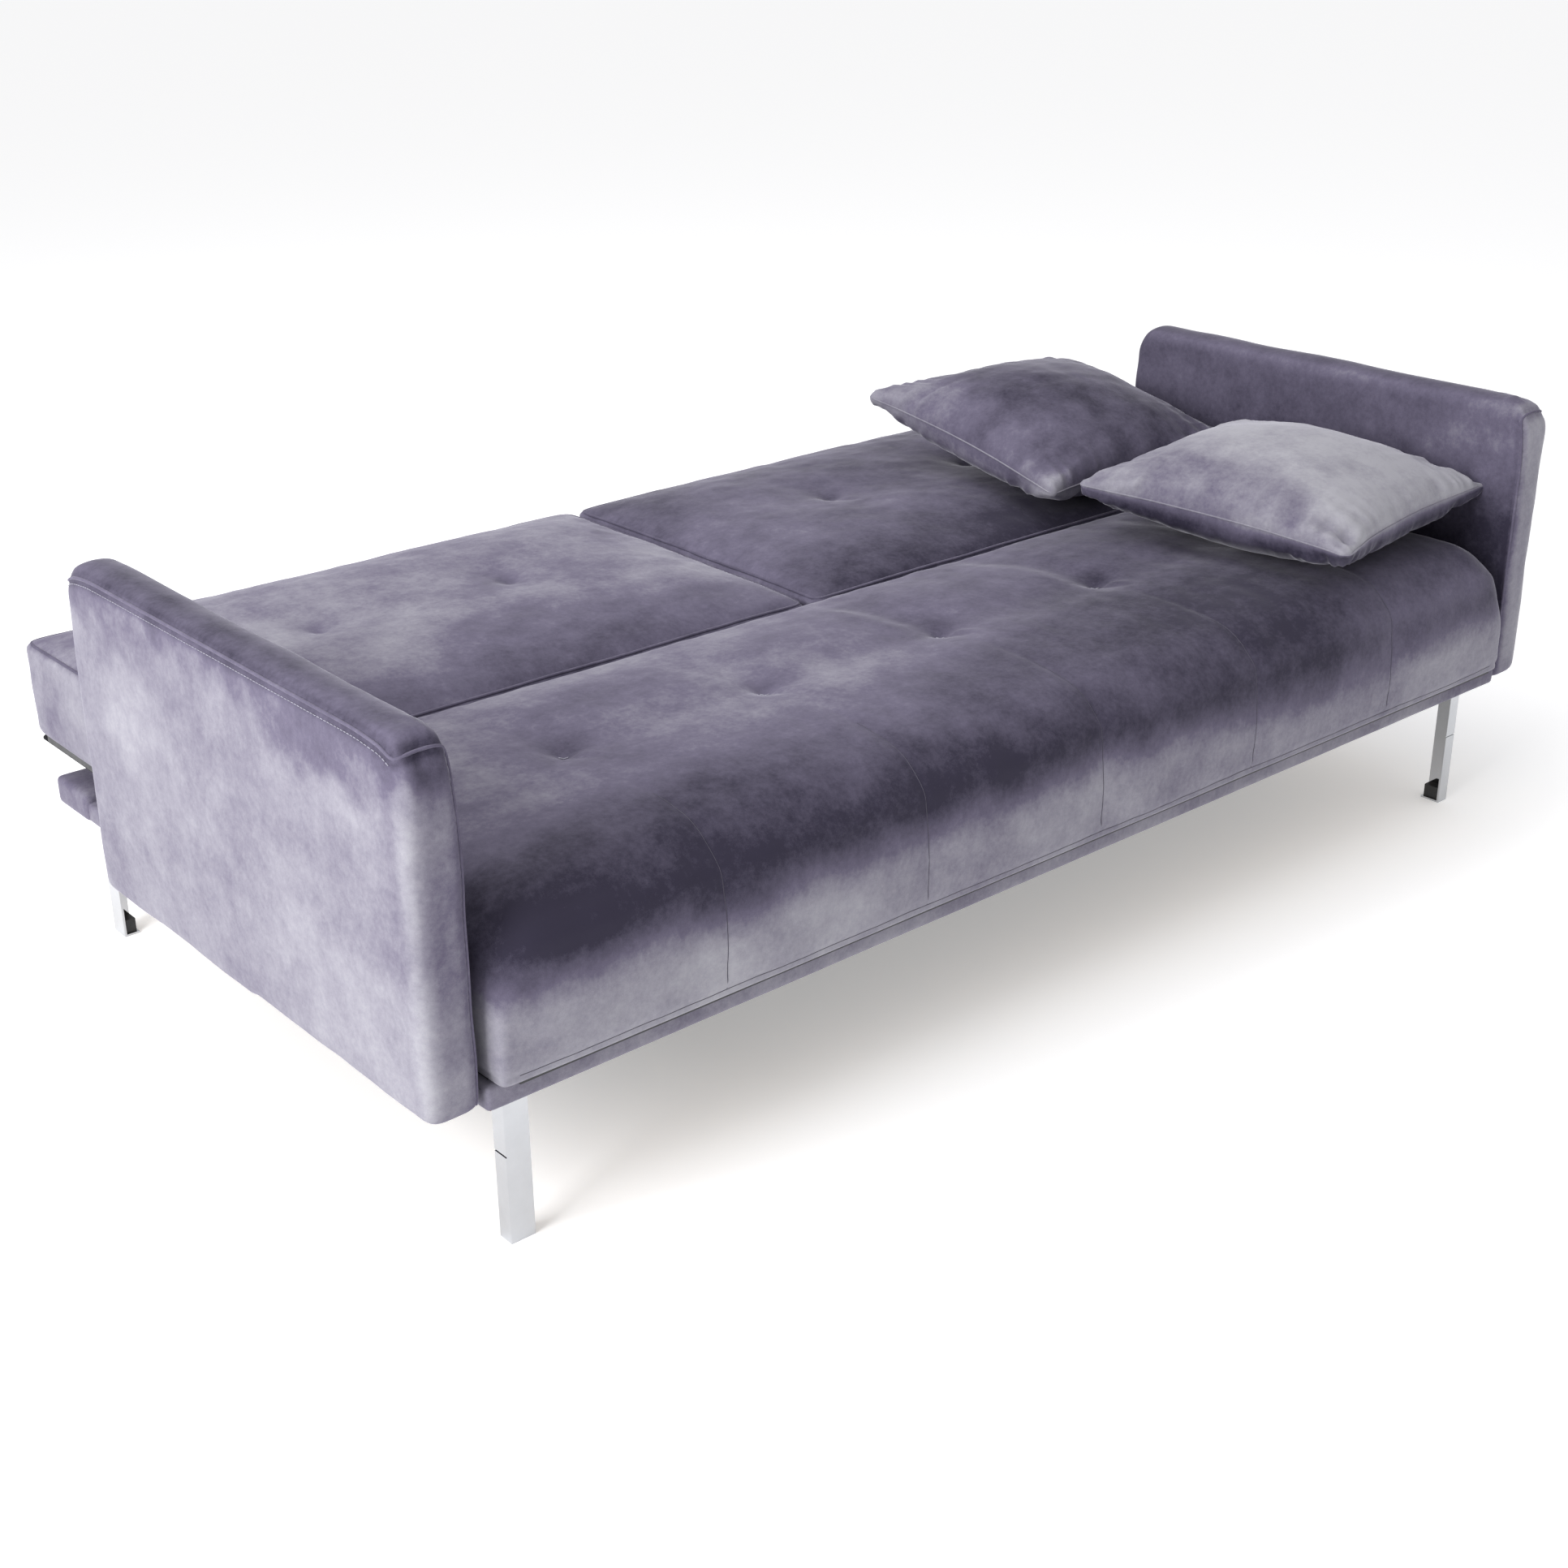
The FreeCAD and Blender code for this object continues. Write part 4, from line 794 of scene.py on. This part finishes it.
def sew_back(piece, low, high, centres, side):
    """Creases, looseness and the painted sheen and shade, which is lighter on the sides and darker towards
    the seat.
    """
    points = get_points(piece)
    normals = get_normals(piece)
    share = (points[:, 2] - low[2]) / (high[2] - low[2])
    across = (points[:, 1] - low[1]) / (high[1] - low[1])
    upper = smooth(share, 0.75, 0.9)
    points[:, 2] -= upper * pull_lines(points, centres, 3.5 * MM, 0.13)
    loose = 1.1 * MM * drift(points, 14 + side, 0.17) + 0.5 * MM * drift(points * CREASE_GRAIN, 19, 0.06)
    points += normals * (loose * smooth(share, 0.03, 0.15))[:, None]
    set_points(piece, points)
    # Painted sheen and shade: a mid value with slow random swells.
    painted_sheen_shade = 0.54 + 0.12 * drift(points, 15 + side, 0.40) + 0.06 * drift(points, 16 + side, 0.12)
    # The right half is darker, more so towards its right end: painted sheen and shade.
    if side == RIGHT:
        painted_sheen_shade -= 0.23 + 0.16 * smooth(points[:, 0], 0.30, 0.62)
    # Painted light on the faces turned to the sides and the rear.
    painted_sheen_shade += 0.16 * smooth(np.abs(normals[:, 0]) + np.clip(normals[:, 1], 0, 1), 0.6, 0.95)
    # Painted shade towards the crease with the seat.
    painted_sheen_shade -= 0.20 * (1 - smooth(across, 0.05, 0.30))
    # Painted shade in each tuft.
    for x, y in centres:
        distance = np.hypot(points[:, 0] - x + 0.008, points[:, 1] - y - 0.010)
        painted_sheen_shade -= 0.22 * bell(distance, 0.028) * upper
    set_painted_sheen_shade(piece, painted_sheen_shade)


def backs():
    """Both halves, each with a welt round its top and a row of stitches outside and below the welt."""
    for name, side in SIDES.items():
        piece, ids = back_piece(name, side)
        body = f"{name}_back"
        dress(piece, body, VELVET, "velvet", *(f"{body}_{part}" for part in ("cover", "foam", "buttons")))
        welt = smooth_loop(get_points(piece)[rim_ids(ids[:, :, -1])], 3)
        velvet_cord(f"{name}_back_welt", body, tube(welt, BACK_WELT_RADIUS, 8, closed=True), 0.30)
        low, high = BACK_BOXES[name]
        inward = (low + high) / 2 - welt
        inward[:, 2] = 0
        inward /= np.linalg.norm(inward, axis=1, keepdims=True)
        row = welt - inward * 3.0 * MM - np.array([0, 0, 6 * MM])
        stitches = make_mesh(f"{name}_back_stitches", *stitch_row(row))
        dress(stitches, body, PALE_THREAD, "velvet")


def velvet_cord(name, body, shape, painted_sheen_shade):
    """A welt or piping covered in the same velvet, with one value of painted sheen and shade all along."""
    cord = make_mesh(name, *shape)
    set_painted_sheen_shade(cord, np.full(len(cord.data.vertices), painted_sheen_shade))
    dress(cord, body, VELVET, "velvet")


def smooth_loop(loop, passes):
    """A closed line with each point moved to the mean of its neighbours, some times over."""
    for _ in range(passes):
        loop = (np.roll(loop, 1, axis=0) + 2 * loop + np.roll(loop, -1, axis=0)) / 4
    return loop


# ---- arms
def arm_piece(name, side):
    """A padded slab: crowned top band, a soft turn from the outer panel to the front, a flat back.

    The edge radii blend from the sides to the top. The crown is one minus the place across squared,
    and the outer panel swells by the same with fourth powers.
    """
    low, high = ARM_BOXES[name]
    xs = grid_lines(low[0], high[0], ARM_STEP * 0.8)
    ys, zs = (grid_lines(low[axis], high[axis], ARM_STEP) for axis in (1, 2))
    points, quads, ids = lattice_shell(xs, ys, zs)
    outer = (points[:, 0] - (low[0] + high[0]) / 2) * side > 0
    front = points[:, 1] < (low[1] + high[1]) / 2
    upper = points[:, 2] > (low[2] + high[2]) / 2
    radius_x = np.where(outer, np.where(front, 26 * MM, 12 * MM), 9 * MM)
    near_top = smooth(points[:, 2], high[2] - 0.09, high[2] - 0.02)
    radius_x = radius_x * (1 - near_top) + 10 * MM * near_top
    radius_z = np.where(upper, 38 * MM, 15 * MM)
    radius_y = np.where(upper, radius_z * near_top + 16 * MM * (1 - near_top), 15 * MM)
    depth = points[:, 1]
    along_top = smooth(depth, low[1], low[1] + 0.09) * (1 - smooth(depth, high[1] - 0.09, high[1]))
    radius_z = np.where(upper, radius_z * (1 - along_top) + 9 * MM * along_top, radius_z)
    points = round_slab(points, low, high, np.column_stack([radius_x, radius_y, radius_z]))
    middle = (low + high) / 2
    half = (high - low) / 2
    across = (points[:, 0] - middle[0]) / half[0]
    along = (points[:, 1] - middle[1]) / half[1]
    tall = (points[:, 2] - middle[2]) / half[2]
    points[:, 2] += (8 * MM * (1 - across**2) + MM) * smooth(tall, 0.90, 1.0)
    belly = (1 - along**4) * (1 - tall**4)
    points[:, 0] += 3.0 * MM * belly * smooth(across * side, 0.6, 1.0) * side
    piece = make_mesh(f"{name}_arm_pad", points, quads)
    subdivide(piece)
    return piece, ids


def shape_arm(piece, side, low, high):
    """Wrinkles at the top front corner, slow unevenness, and painted light and shade on each panel by the way
    it faces.
    """
    points = get_points(piece)
    normals = get_normals(piece)
    front_turn = bell(points[:, 1] - low[1] - 0.02, 0.05)
    high_up = smooth(points[:, 2], high[2] - 0.10, high[2] - 0.01)
    wrinkle = drift(points * np.array([1.0, 1.0, 0.35]), 31 + side, 0.05) * front_turn * high_up
    points += normals * (wrinkle * 2.8 * MM + drift(points, 33 + side, 0.22) * 1.2 * MM)[:, None]
    set_points(piece, points)
    # How far each point faces out, in, forward and up sets its painted light and shade.
    outward = np.clip(normals[:, 0] * side, 0, 1)
    inward = np.clip(-normals[:, 0] * side, 0, 1)
    forward = np.clip(-normals[:, 1], 0, 1)
    upward = np.clip(normals[:, 2], 0, 1)
    swirl = drift(points, 35 + side, 0.30)
    ragged = 0.022 * drift(points, 36 + side, 0.09)
    # Left arm: painted light on the outer panel and low on the front, dark painted sheen on the top, a ragged
    # darker band between them, and painted shade at the turn to the front.
    if side == LEFT:
        low_front = 1 - 0.75 * smooth(points[:, 2] + ragged, high[2] - 0.080, high[2] - 0.025)
        painted_sheen_shade = 0.69 * outward + 0.30 * inward + 0.62 * forward * low_front + 0.15 * upward
        border = smooth(points[:, 2] + ragged + 0.05 * swirl, high[2] - 0.085, high[2] + 0.02)
        painted_sheen_shade -= 0.34 * outward * border
        near_front = bell(points[:, 1] - low[1] - 0.03 - 0.4 * ragged, 0.020)
        painted_sheen_shade -= 0.08 * (near_front * smooth(points[:, 2], low[2] + 0.2, high[2])) * outward
    else:
        # Right arm: painted shade on the inner panel, lighter higher up and darker low beside the seat;
        # painted light on the front.
        painted_sheen_shade = 0.56 * outward + 0.27 * inward + 0.72 * forward + 0.24 * upward
        lighter_above = 0.08 * smooth(points[:, 2], low[2] + 0.22, high[2])
        painted_sheen_shade += inward * (lighter_above - 0.24 * (1 - smooth(points[:, 2], 0.43, 0.56)))
    painted_sheen_shade += 0.09 * swirl + 0.04 * drift(points, 38 + side, 0.10)
    set_painted_sheen_shade(piece, painted_sheen_shade)


def tuck_in(piece, path):
    """Pull the cover in on both sides of a welt and paint shade into the hollow there: a bell round a set
    distance.
    """
    points = get_points(piece)
    normals = get_normals(piece)
    distance = np.full(len(points), 9.0)
    for spot in path[::2]:
        distance = np.minimum(distance, np.linalg.norm(points - spot, axis=1))
    hollow = bell(distance - 6 * MM, 5 * MM)
    set_points(piece, points - normals * (MM * hollow)[:, None])
    # Painted shade in the hollow beside the welt.
    set_painted_sheen_shade(piece, read_value(piece, "painted_sheen_shade") - 0.20 * hollow)


def arms():
    """Both arms: the pad, a welt along the outer top edge and down the front, and two rows of stitches."""
    for name, side in SIDES.items():
        piece, ids = arm_piece(name, side)
        low, high = ARM_BOXES[name]
        shape_arm(piece, side, low, high)
        dress(piece, "base", VELVET, "velvet", f"{name}_arm_cover", f"{name}_arm_foam")
        points = get_points(piece)
        outer_column, inner_column = (-1, 0) if side == RIGHT else (0, -1)
        top = points[ids[outer_column, ::-1, -1]]
        across = points[ids[::-side, 0, -1]]
        down = points[ids[inner_column, 0, ::-1]]
        run = np.concatenate([top, across[1:], down[1:]])
        for _ in range(2):
            run[1:-1] = (run[:-2] + 2 * run[1:-1] + run[2:]) / 4
        path = even_path(run, 5 * MM)
        tuck_in(piece, path)
        velvet_cord(f"{name}_arm_welt", "base", tube(path, ARM_WELT_RADIUS, 8), 0.42)
        edge = even_path(top, 5 * MM)
        below = edge + np.array([2.6 * side, 0, -7.0]) * MM
        above = edge + np.array([-7.0 * side, 0, 2.6]) * MM
        stitches = make_mesh(f"{name}_arm_stitches", *joined([stitch_row(below), stitch_row(above)]))
        dress(stitches, "base", PALE_THREAD, "velvet")


# ---- base rails
def rails():
    """The cloth round the base: a softly rounded sleeve over each rail, a little larger than its timber."""
    low, high = RAIL_LOW, RAIL_HIGH
    lap = 0.9 * MM
    _, front_high = node_box("front_rail")
    rear_low, rear_high = node_box("rear_rail")
    spans = {
        "front_rail_cloth": (
            (low[0] - 2 * MM, low[1] - 1.5 * MM, low[2]),
            (high[0] + 2 * MM, front_high[1], front_high[2] + lap),
            3 * MM,
        ),
        "rear_rail_cloth": (
            (low[0] - 4 * MM, rear_low[1] - 6 * MM, low[2]),
            (high[0] + 4 * MM, high[1] + 4 * MM, rear_high[2] + lap),
            7 * MM,
        ),
    }
    for side_name, outer in (("left", low[0]), ("right", high[0])):
        side_low, side_high = node_box(f"{side_name}_side_rail")
        wide = sorted((outer, side_high[0] if side_name == "left" else side_low[0]))
        spans[f"{side_name}_rail_cloth"] = (
            (wide[0], front_high[1] - 9 * MM, low[2]),
            (wide[1], rear_low[1] + 9 * MM, side_high[2] + lap),
            2 * MM,
        )
    for index, (name, (start, end, radius)) in enumerate(spans.items()):
        start, end = np.array(start), np.array(end)
        lines = [grid_lines(start[axis], end[axis], RAIL_STEP) for axis in range(3)]
        points, quads, _ = lattice_shell(*lines)
        points = round_slab(points, start, end, np.full((len(points), 3), radius))
        piece = make_mesh(name, points, quads)
        subdivide(piece)
        points = get_points(piece)
        ripple = (0.4 + 0.4 * drift(points * np.array([1, 1, 0.4]), 51 + index, 0.11)) * MM
        outer = np.clip(get_normals(piece)[:, :2], -1, 1)
        points[:, :2] += outer * ripple[:, None]
        set_points(piece, points)
        # Painted sheen and shade: the front sleeve lighter than the side and rear ones, with slow random
        # swells.
        set_painted_sheen_shade(piece, 0.68 - 0.14 * min(index, 1) + 0.14 * drift(points, 61 + index, 0.25))
        replaced = ("base_border_cover",) if index == 0 else ()
        dress(piece, "base", VELVET, "velvet", *replaced)


# ---- scatter pillows
PILLOW_SIDE = 446 * MM
PILLOW_HALF = 76 * MM
# Turn and tilt in degrees, how far it presses down, and its painted sheen and shade on top,
# underneath, towards the front left and beyond a slanting edge.
PILLOWS = {
    "front": dict(
        turn=8.0, tilt=2.5, sink=7 * MM, seed=71, painted_sheen_shade=0.92, under=-0.04, slope=0.10, shade=-0.40, edge=0.06
    ),
    "rear": dict(
        turn=-3.0, tilt=9.0, sink=12 * MM, seed=81, painted_sheen_shade=0.15, under=0.50, slope=0.12, shade=0.22, edge=0.10
    ),
}


def pillow_shell(seed):
    """Two square sheets joined at a knife edge, with the sides drawn in between the corners.

    The height is the product of one minus each place squared, to a power that is lower underneath.
    """
    count, drawn_in = 66, 0.085
    line = np.linspace(-1, 1, count + 1)
    xs, ys = np.meshgrid(line, line, indexing="ij")
    wide = xs * (1 - drawn_in * (1 - ys**2)) * PILLOW_SIDE / 2
    deep = ys * (1 - drawn_in * (1 - xs**2)) * PILLOW_SIDE / 2
    edge = np.clip((1 - xs**2) * (1 - ys**2), 0, 1)
    flat = np.column_stack([wide.ravel(), deep.ravel(), np.zeros(wide.size)])
    sheets = []
    for half, sign in enumerate((1, -1)):
        rumple = drift(flat, seed + half + 9, 0.18).reshape(xs.shape) * 3.0 * MM * edge**0.5
        full = PILLOW_HALF * edge ** (0.55 if sign > 0 else 0.42)
        belly = 1 if sign > 0 else 1 + 0.13 * edge**0.5 * (1 - edge)
        sheets.append(np.stack([wide * belly, deep * belly, sign * full + rumple], axis=-1))
    rows = count + 1
    ids_up = np.arange(rows * rows).reshape(rows, rows)
    inside = np.zeros((rows, rows), bool)
    inside[1:-1, 1:-1] = True
    ids_down = ids_up.copy()
    ids_down[inside] = rows * rows + np.arange(inside.sum())
    points = np.concatenate([sheets[0].reshape(-1, 3), sheets[1][inside]])
    quads = np.concatenate([grid_quads(ids_up, False), grid_quads(ids_down, True)])
    places = np.column_stack([np.concatenate([grid.ravel(), grid[inside]]) for grid in (xs, ys)])
    return points, quads, rim_ids(ids_up), places


def puckers(across, inward, seed):
    """Folds that start at a seam and die out inwards: sharp ridges along it times a falling exponential."""
    line = np.column_stack([across, 0.18 * inward * across, np.zeros(len(across))])
    swell_one = drift(line, seed, 0.30, 2)
    ridge = 1 - 2.2 * np.abs(swell_one)
    length = 0.16 + 0.16 * np.abs(across) ** 2
    near_corners = 0.30 + 0.9 * np.abs(across) ** 2
    return ridge * np.exp(-inward / length) * smooth(inward, 0.0, 0.05) * near_corners


def pillow_folds(piece, seed):
    """Puckers from all four seams, from the sheet places that each point keeps."""
    u, v, half = (read_value(piece, name) for name in ("u", "v", "half"))
    total = np.zeros(len(u))
    for index, (across, inward) in enumerate(((u, 1 - v), (u, 1 + v), (v, 1 - u), (v, 1 + u))):
        for level in (0, 1):
            chosen = np.clip(1 - np.abs(half - level), 0, 1)
            total += chosen * puckers(across, inward, seed + 11 * index + 5 * level)
    return total


def settle(points, floor, soft=5 * MM):
    """Points below the floor rise onto it: height becomes a soft maximum of itself and the floor."""
    above = (points[:, 2] - floor) / soft
    points[:, 2] = floor + soft * np.logaddexp(0, above)
    return points


def pillow(name, facts):
    """Swollen a little with its edge held, then turned, leaned and set down so that it rests flat."""
    points, quads, ring, places = pillow_shell(facts["seed"])
    piece = make_mesh(f"{name}_pillow_case", points, quads)
    keep_value(piece, "u", places[:, 0])
    keep_value(piece, "v", places[:, 1])
    keep_value(piece, "half", (points[:, 2] < 0).astype(float))
    held = np.zeros(len(points), bool)
    held[ring] = True
    swell(piece, pressure=2.0, frames=12, pinned=held, stiffness=12, bending=0.1, cap=9 * MM)
    points = get_points(piece)
    low, high = node_box(f"{name}_pillow_cover")
    lean = Matrix.Rotation(np.radians(facts["tilt"]), 3, "X")
    turn = Matrix.Rotation(np.radians(facts["turn"]), 3, "Z")
    points = points @ np.array(lean @ turn).T
    points[:, :2] += (low[:2] + high[:2]) / 2
    floor = SEAT_HIGH[2] + CROWN - 3 * MM
    points[:, 2] += floor - points[:, 2].min() - facts["sink"]
    set_points(piece, settle(points, floor))
    subdivide(piece)
    points = get_points(piece)
    normals = get_normals(piece)
    folds = pillow_folds(piece, facts["seed"] + 20)
    free = smooth(points[:, 2], floor + 2 * MM, floor + 14 * MM)
    points += normals * (6.0 * MM * folds * free)[:, None]
    set_points(piece, points)
    set_painted_sheen_shade(piece, pillow_sheen_shade(points, normals, folds * free, facts, (low + high) / 2))
    dress(piece, f"{name}_pillow", VELVET, "velvet", f"{name}_pillow_cover")
    seam = tube(smooth_loop(points[ring], 1), PIPING_RADIUS, 6, closed=True)
    velvet_cord(f"{name}_pillow_seam", f"{name}_pillow", seam, 0.70)


def pillow_sheen_shade(points, normals, folds, facts, middle):
    """Painted sheen and shade: one value on top and one under, painted light on the fold ridges and on the
    faces turned to the front left, with a painted shaded part beyond a slanting edge.
    """
    swirl = drift(points, facts["seed"] + 2, 0.20)
    share = smooth(normals[:, 2], -0.20, 0.20)
    # Painted sheen and shade: one value where the case faces up, another where it faces down.
    painted_sheen_shade = facts["painted_sheen_shade"] * share + facts["under"] * (1 - share)
    # Painted light on the faces turned to the front left.
    painted_sheen_shade += facts["slope"] * np.clip(-normals[:, 0] * 0.7 - normals[:, 1] * 0.7, -1, 1)
    # Slow random swirls, and painted highlights on the fold ridges.
    painted_sheen_shade += 0.10 * swirl + 0.05 * drift(points, facts["seed"] + 3, 0.06) + 0.20 * folds
    # Painted sheen and shade beyond a slanting edge.
    toward = 0.96 * (middle[0] - points[:, 0]) + 0.16 * (points[:, 1] - middle[1])
    shade = smooth(toward + 0.035 * swirl, facts["edge"], facts["edge"] + 0.10)
    return painted_sheen_shade + facts["shade"] * shade * share


def pillows():
    """Both pillows; each case also stands for the insert inside it."""
    for name, facts in PILLOWS.items():
        pillow(name, facts)
        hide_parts(f"{name}_pillow_insert")


# ---- stage
def stage():
    """A wide pale floor, soft boxes and an even pale sky."""
    reach = 60.0
    corners = [(-reach, -reach, 0), (reach, -reach, 0), (reach, reach, 0), (-reach, reach, 0)]
    floor = make_mesh("studio_floor", corners, [(0, 1, 2, 3)])
    material, _, _, shader = new_material("pale_floor")
    shader.inputs["Base Color"].default_value = (0.90, 0.90, 0.91, 1)
    shader.inputs["Roughness"].default_value = 0.95
    shader.inputs["Emission Color"].default_value = (1, 1, 1, 1)
    shader.inputs["Emission Strength"].default_value = 0.30
    floor.data.materials.append(material)
    world = bpy.data.worlds.new("studio")
    world.use_nodes = True
    nodes, links = world.node_tree.nodes, world.node_tree.links
    split = nodes.new("ShaderNodeSeparateXYZ")
    links.new(nodes.new("ShaderNodeTexCoord").outputs["Generated"], split.inputs["Vector"])
    greys = ((0.0, (0.66,) * 3), (0.35, (0.76,) * 3), (0.9, (1.0,) * 3))
    links.new(ramp(nodes, links, split.outputs["Z"], greys), nodes["Background"].inputs["Color"])
    nodes["Background"].inputs["Strength"].default_value = 0.78
    bpy.context.scene.world = world
    soft_box("left_key", (-3.6, -0.6, 2.1), (0, 0, 0.35), 1.7, 120)
    soft_box("top_fill", (-0.6, 1.4, 3.4), (0, 0, 0.3), 2.6, 60)


def soft_box(name, place, aim, size, power):
    """A square light of a size in metres and a power in watts, turned to face a point."""
    light = bpy.data.lights.new(name, "AREA")
    light.shape = "SQUARE"
    light.size = size
    light.energy = power
    holder = bpy.data.objects.new(name, light)
    holder.location = place
    holder.rotation_euler = (Vector(aim) - Vector(place)).to_track_quat("-Z", "Y").to_euler()
    bpy.context.scene.collection.objects.link(holder)


def camera():
    """The viewing angle: ahead of the left arm, looking down along the seat."""
    yaw, pitch, roll = 0.7123, 0.4173, -0.0058
    place = (-1.9454, -2.2152, 1.4234)
    frame_side, focal, centre_x, centre_y = 1932, 2664.79, 971.65, 964.75
    forward = Vector((np.sin(yaw) * np.cos(pitch), np.cos(yaw) * np.cos(pitch), -np.sin(pitch)))
    right = Vector((np.cos(yaw), -np.sin(yaw), 0))
    up = right.cross(forward)
    across = right * np.cos(roll) + up * np.sin(roll)
    above = -right * np.sin(roll) + up * np.cos(roll)
    lens = bpy.data.cameras.new("studio_camera")
    lens.sensor_width = 36
    lens.lens = focal / frame_side * 36
    lens.shift_x = -(centre_x - frame_side / 2) / frame_side
    lens.shift_y = (centre_y - frame_side / 2) / frame_side
    holder = bpy.data.objects.new("studio_camera", lens)
    turn = Matrix((across, above, -forward)).transposed().to_4x4()
    holder.matrix_world = Matrix.Translation(place) @ turn
    bpy.context.scene.collection.objects.link(holder)
    bpy.context.scene.camera = holder
    bpy.context.scene.view_settings.view_transform = "Standard"


finish_frame()
seat()
backs()
arms()
rails()
pillows()
stage()
camera()
